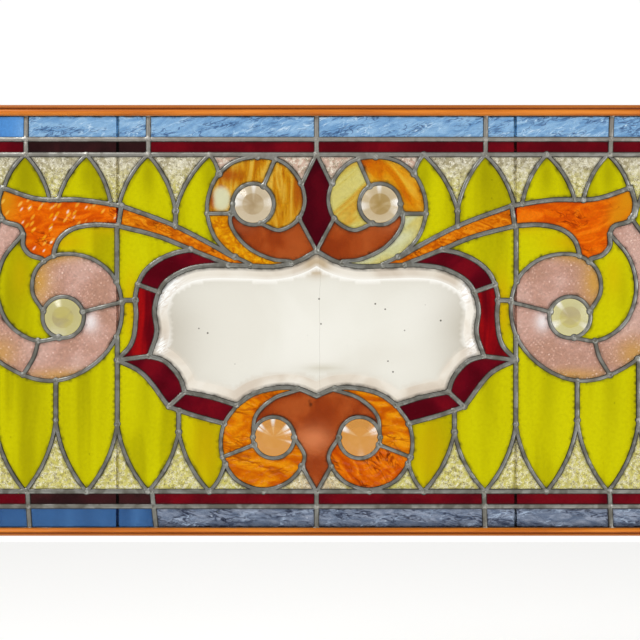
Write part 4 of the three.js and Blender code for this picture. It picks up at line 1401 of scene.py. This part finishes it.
def jewel_mesh(name, centre, flashes, from_radius):
    """A profile of radius and depth, carried round the axis. The mask of painted flashes, painted
    reflections, is strong on the bevel outside from_radius, where the bevel would throw the light
    straight at the front."""
    radius, face = JEWEL_RADIUS, JEWEL_FACE
    profile = np.array([
        (0.01, BACK), (radius - 0.4, BACK), (radius, BACK - 0.4), (radius, FRONT),
        (radius - 3.0, FRONT - 0.35), (face + ARRIS, PLATE_FRONT + 0.12), (face - ARRIS, PLATE_FRONT),
        (6, PLATE_FRONT), (0.01, PLATE_FRONT),
    ])
    turn = np.linspace(0, 2 * np.pi, JEWEL_SIDES, endpoint=False)
    r, depth = profile[:, :1], profile[:, 1:]
    x, z = centre[0] + r * np.cos(turn), centre[1] + r * np.sin(turn)
    points = np.stack([x, np.broadcast_to(depth, x.shape), z], axis=-1).reshape(-1, 3)
    mesh = make_mesh(name, points, tube_faces(len(profile), JEWEL_SIDES), np.radians(7))
    away = np.linalg.norm(points[:, ::2] - centre, axis=1)
    on_bevel = (away > face) & (away < radius)
    painted_flash = fans(np.tile(turn, len(profile)), flashes) * on_bevel * (away > from_radius)
    add_masks(mesh, {"painted_flash": np.clip(painted_flash, 0, 1), "bevel": on_bevel})
    return mesh


def jewel_glass(name, face, edge, pale):
    """Clear glass with painted colours of what it shows around it: one tone on its face, another on
    its bevel, and painted white flashes.
    """
    made, tree, shader, place = material(
        name, Roughness=0.16, IOR=1.52, Transmission_Weight=1.0, Specular_Tint=DULLED
    )
    cloud = streaked(tree, place, pale, face, face, 40.0, 0.5)["Color"]
    colour = blend(tree, painted(tree, "bevel"), cloud, light(*edge))
    # Painted flashes: white where the bevel would catch the light.
    colour = blend(tree, painted(tree, "painted_flash"), colour, light(252, 250, 244))
    feed(tree, shader["Base Color"], colour)
    return made


# %% The six jewels, each with what it shows
# Face, edge and cloud colours, painted as what the jewel shows around it, painted flashes as (angle, half
# width, strength), and where they start.
JEWELS_SEEN = {
    "top_jewel_left": ((170, 146, 108), (206, 190, 162), (190, 170, 134),
                       [(88, 7, 0.8), (150, 9, 0.9), (174, 13, 0.95), (8, 16, 0.4)], 14),
    "top_jewel_right": ((164, 134, 76), (204, 186, 152), (186, 160, 112),
                        [(92, 8, 0.8), (6, 13, 0.95), (186, 14, 0.7), (335, 12, 0.4)], 14),
    "side_jewel_left": ((192, 180, 106), (196, 188, 134), (168, 154, 116), [(250, 30, 0.2)], 14),
    "side_jewel_right": ((198, 186, 110), (206, 200, 150), (180, 166, 124),
                         [(130, 9, 0.8), (205, 12, 0.7), (330, 10, 0.5)], 21),
    "bottom_jewel_left": ((213, 151, 76), (210, 147, 72), (218, 160, 90),
                          [(92, 7, 0.95), (136, 5, 0.95), (149, 5, 0.95), (38, 8, 0.95), (20, 5, 0.8),
                           (345, 4, 0.6)], 21),
    "bottom_jewel_right": ((213, 151, 76), (210, 147, 72), (218, 160, 90),
                           [(150, 9, 0.95), (28, 7, 0.8), (15, 4, 0.6), (275, 12, 0.15)], 21),
}
for name, (face, edge, pale, flashes, from_radius) in JEWELS_SEEN.items():
    where, _, side = name.split("_")
    centre = np.array(JEWELS[where]) * (-1 if side == "left" else 1, 1)
    mesh = jewel_mesh(name, centre, flashes, from_radius)
    piece(name + "_bevelled", mesh, jewel_glass(name + "_glass", face, edge, pale), "bevel_glass", name)
print("jewels:", len(JEWELS_SEEN))

# %% [markdown]
# ## The wooden frame
#
# The frame is a thin moulding, mitred at its corners: two soft reeds with a quirk between them,
# and a groove for the panel. The quirk and the outer reed are darkened with painted shade. A
# section is carried along each member and cut at the mitres.
# A hand-planed edge is never quite straight, so the section wavers a little on its way.

# %% The section of a frame member
WIDTH, HEIGHT = 1090, 545
FACE = {"top": 13, "bottom": 9.5, "side": 11}
GROOVE_HALF = 3.1
FRAME_BACK = 11
MITRE_GAP = 0.3


def moulding():
    """Share of the face from the outside to the sight edge, and depth from front to back."""
    outer_reed = smooth([(0, -8.2), (0.04, -10.0), (0.16, -10.9), (0.28, -10.6), (0.35, -9.2)], 0.5)
    inner_reed = smooth([(0.44, -9.0), (0.5, -10.2), (0.64, -10.6), (0.84, -9.8), (0.97, -7.8)], 0.5)
    square = [(1, -7.2), (1, -GROOVE_HALF), (0.5, -GROOVE_HALF), (0.5, GROOVE_HALF), (1, GROOVE_HALF),
              (1, FRAME_BACK - 0.6), (0.95, FRAME_BACK), (0.05, FRAME_BACK), (0, FRAME_BACK - 0.6)]
    return np.vstack([outer_reed, inner_reed, square])


def swept(name, rings, masks):
    """A closed tube through rings of points. Masks are given for one ring."""
    count, size = rings.shape[:2]
    mesh = make_mesh(name, rings.reshape(-1, 3), tube_faces(count, size), np.radians(50))
    add_masks(mesh, {key: np.tile(values, count) for key, values in masks.items()})
    return mesh


section = moulding()
share, depth = section.T
# Masks of painted shade: the quirk between the reeds, and the outer reed.
wood_masks = {
    "quirk": np.exp(-(((share - 0.37) / 0.1) ** 2)) * (depth < -8.9),
    "outside": 0.75 * (share < 0.3),
}
print("moulding:", len(section), "points, from", depth.min(), "to", depth.max())


# %% Each member in its place
MEMBER_STEPS = 90
WAVER = 0.12


def member_rings(place):
    """Rings of the section from one mitre to the other. place turns the share of the face and of
    the length into X and Z."""
    share, depth = section.T
    t = np.linspace(0, 1, MEMBER_STEPS)[:, None]
    x, z = place(share[None], t)
    x, z = np.broadcast_arrays(x, z)
    flat = np.column_stack([x.ravel(), z.ravel()])
    waver = WAVER * waves(flat, 300, 70).reshape(x.shape)
    front = (depth < -GROOVE_HALF - 1)[None]
    return np.stack([x, depth[None] + np.where(front, np.abs(waver), 0), z], axis=-1)


def rail(edge_of, turned):
    """Place on a rail, whose mitres slope by the side face's width."""
    def place(share, t):
        half = WIDTH / 2 - share * FACE["side"] - MITRE_GAP
        return half * (1 - 2 * t) * turned, edge_of(share) + 0 * t
    return place


def stile(turned):
    """Place on a stile, whose mitres slope by the rails' faces."""
    def place(share, t):
        low, high = share * FACE["bottom"], HEIGHT - share * FACE["top"]
        up = (low + high) / 2 - turned * (high - low) * (t - 0.5)
        return turned * (WIDTH / 2 - share * FACE["side"]) + 0 * t, up
    return place


MEMBERS = {
    "frame_top_rail": (rail(lambda share: HEIGHT - share * FACE["top"], -1), 0),
    "frame_bottom_rail": (rail(lambda share: share * FACE["bottom"], 1), 0),
    "frame_left_stile": (stile(-1), 90),
    "frame_right_stile": (stile(1), 90),
}

# %% Stained and varnished wood
def wood(name, turn):
    """Straight grain along the member: noise stretched twenty to one, darkened by painted shade on
    the outer reed and in the quirk.
    """
    made, tree, shader, place = material(name, Roughness=0.42, Specular_IOR_Level=0.25)
    along = placed(tree, place, EVEN, turn)
    fibre = placed(tree, along, (0.05, 1, 1))
    fibres = streaked(tree, fibre, (198, 116, 34), (186, 104, 24), (168, 88, 16), 110.0, 0.6)
    # Painted shade on the outer reed.
    colour = blend(tree, painted(tree, "outside"), fibres["Color"], light(150, 84, 18))
    # Painted shade in the quirk.
    colour = blend(tree, painted(tree, "quirk"), colour, light(98, 34, 0))
    feed(tree, shader["Base Color"], colour)
    roughen(tree, shader, use(tree, grain, Place=fibre, Size=420.0, Rough=0.6)["Height"], FINE_DEPTH)
    return made


woods = {0: wood("wood_along_x", 0), 90: wood("wood_along_z", 90)}
for name, (place, turn) in MEMBERS.items():
    mesh = swept(name + "_moulded", member_rings(place), wood_masks)
    piece(name + "_moulded", mesh, woods[turn], "frame_wood", name)
print("frame members:", len(MEMBERS))

# %% [markdown]
# ## The steel bars
#
# Two flat bars stand on edge behind the lead, let into both rails. They have rolled, rounded
# edges and the dull skin of old steel.

# %% Steel of the bars
bar_steel, tree, shader, place = material("old_bar_steel", Metallic=0.1)
skin = streaked(tree, place, (226, 222, 212), (204, 200, 188), (168, 150, 126), 70.0, 1.0)
feed(tree, shader["Base Color"], skin["Color"])
feed(tree, shader["Roughness"], span(tree, skin["Depth"], 0, 1, 0.4, 0.75))
roughen(tree, shader, use(tree, grain, Place=place, Size=500.0, Rough=0.7)["Height"], FINE_DEPTH)

# %% Bars with rounded edges, a little out of straight
BAR_HALF = 1.6
BAR_FRONT, BAR_BACK = 3.1, 10.5
BAR_ROUND = 0.5
BAR_STEPS = 40
BAR_SWAY = 0.15

quarter = np.linspace(0, np.pi / 2, 4)
bar_middle, bar_deep = (BAR_FRONT + BAR_BACK) / 2, (BAR_BACK - BAR_FRONT) / 2
bar_corners = []
for sx, sy, start in ((1, 1, 0), (-1, 1, 90), (-1, -1, 180), (1, -1, 270)):
    turn = quarter + np.radians(start)
    middle = (sx * (BAR_HALF - BAR_ROUND), bar_middle + sy * (bar_deep - BAR_ROUND))
    bar_corners.append(middle + BAR_ROUND * np.column_stack([np.cos(turn), np.sin(turn)]))
bar_x, bar_y = np.vstack(bar_corners).T
for x, where in zip(BAR_X, ("left", "right")):
    name = f"support_bar_{where}"
    low, high = (round(corner.z / MM, 1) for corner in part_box(name))
    z = np.linspace(low, high, BAR_STEPS)[:, None]
    sway = BAR_SWAY * np.sin(z / 60 + x)
    rings = np.stack(np.broadcast_arrays(x + bar_x + sway, bar_y, z), axis=-1)
    piece(name + "_rolled", swept(name + "_rolled", rings, {}), bar_steel, "bar_steel", name)
    print(name, "from", low, "to", high)

# %% [markdown]
# ## Floor
#
# A plain pale floor, lower than the window, as the window hangs or is held by its frame.

# %% Floor
FLOOR_SIZE = 3.0
FLOOR_Z = -0.45
corners = [(x * FLOOR_SIZE, y * FLOOR_SIZE, FLOOR_Z) for x, y in ((-1, -1), (1, -1), (1, 1), (-1, 1))]
floor_mesh = bpy.data.meshes.new("floor")
floor_mesh.from_pydata(corners, [], [(0, 1, 2, 3)])
floor = bpy.data.objects.new("floor", floor_mesh)
floor_paint, *_ = material(
    "pale_floor", Roughness=0.8, Base_Color=(0.9, 0.9, 0.89, 1), Emission_Color=SKY, Emission_Strength=0.45
)
floor_mesh.materials.append(floor_paint)
bpy.context.scene.collection.objects.link(floor)

# %% Sizes, and the end
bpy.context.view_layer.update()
shown = [o for o in bpy.context.scene.objects if o.type == "MESH" and not o.hide_render and o != floor]
corners_over_two = sum(len(face.vertices) - 2 for o in shown for face in o.data.polygons)
print("pieces:", len(shown), " triangles:", corners_over_two)
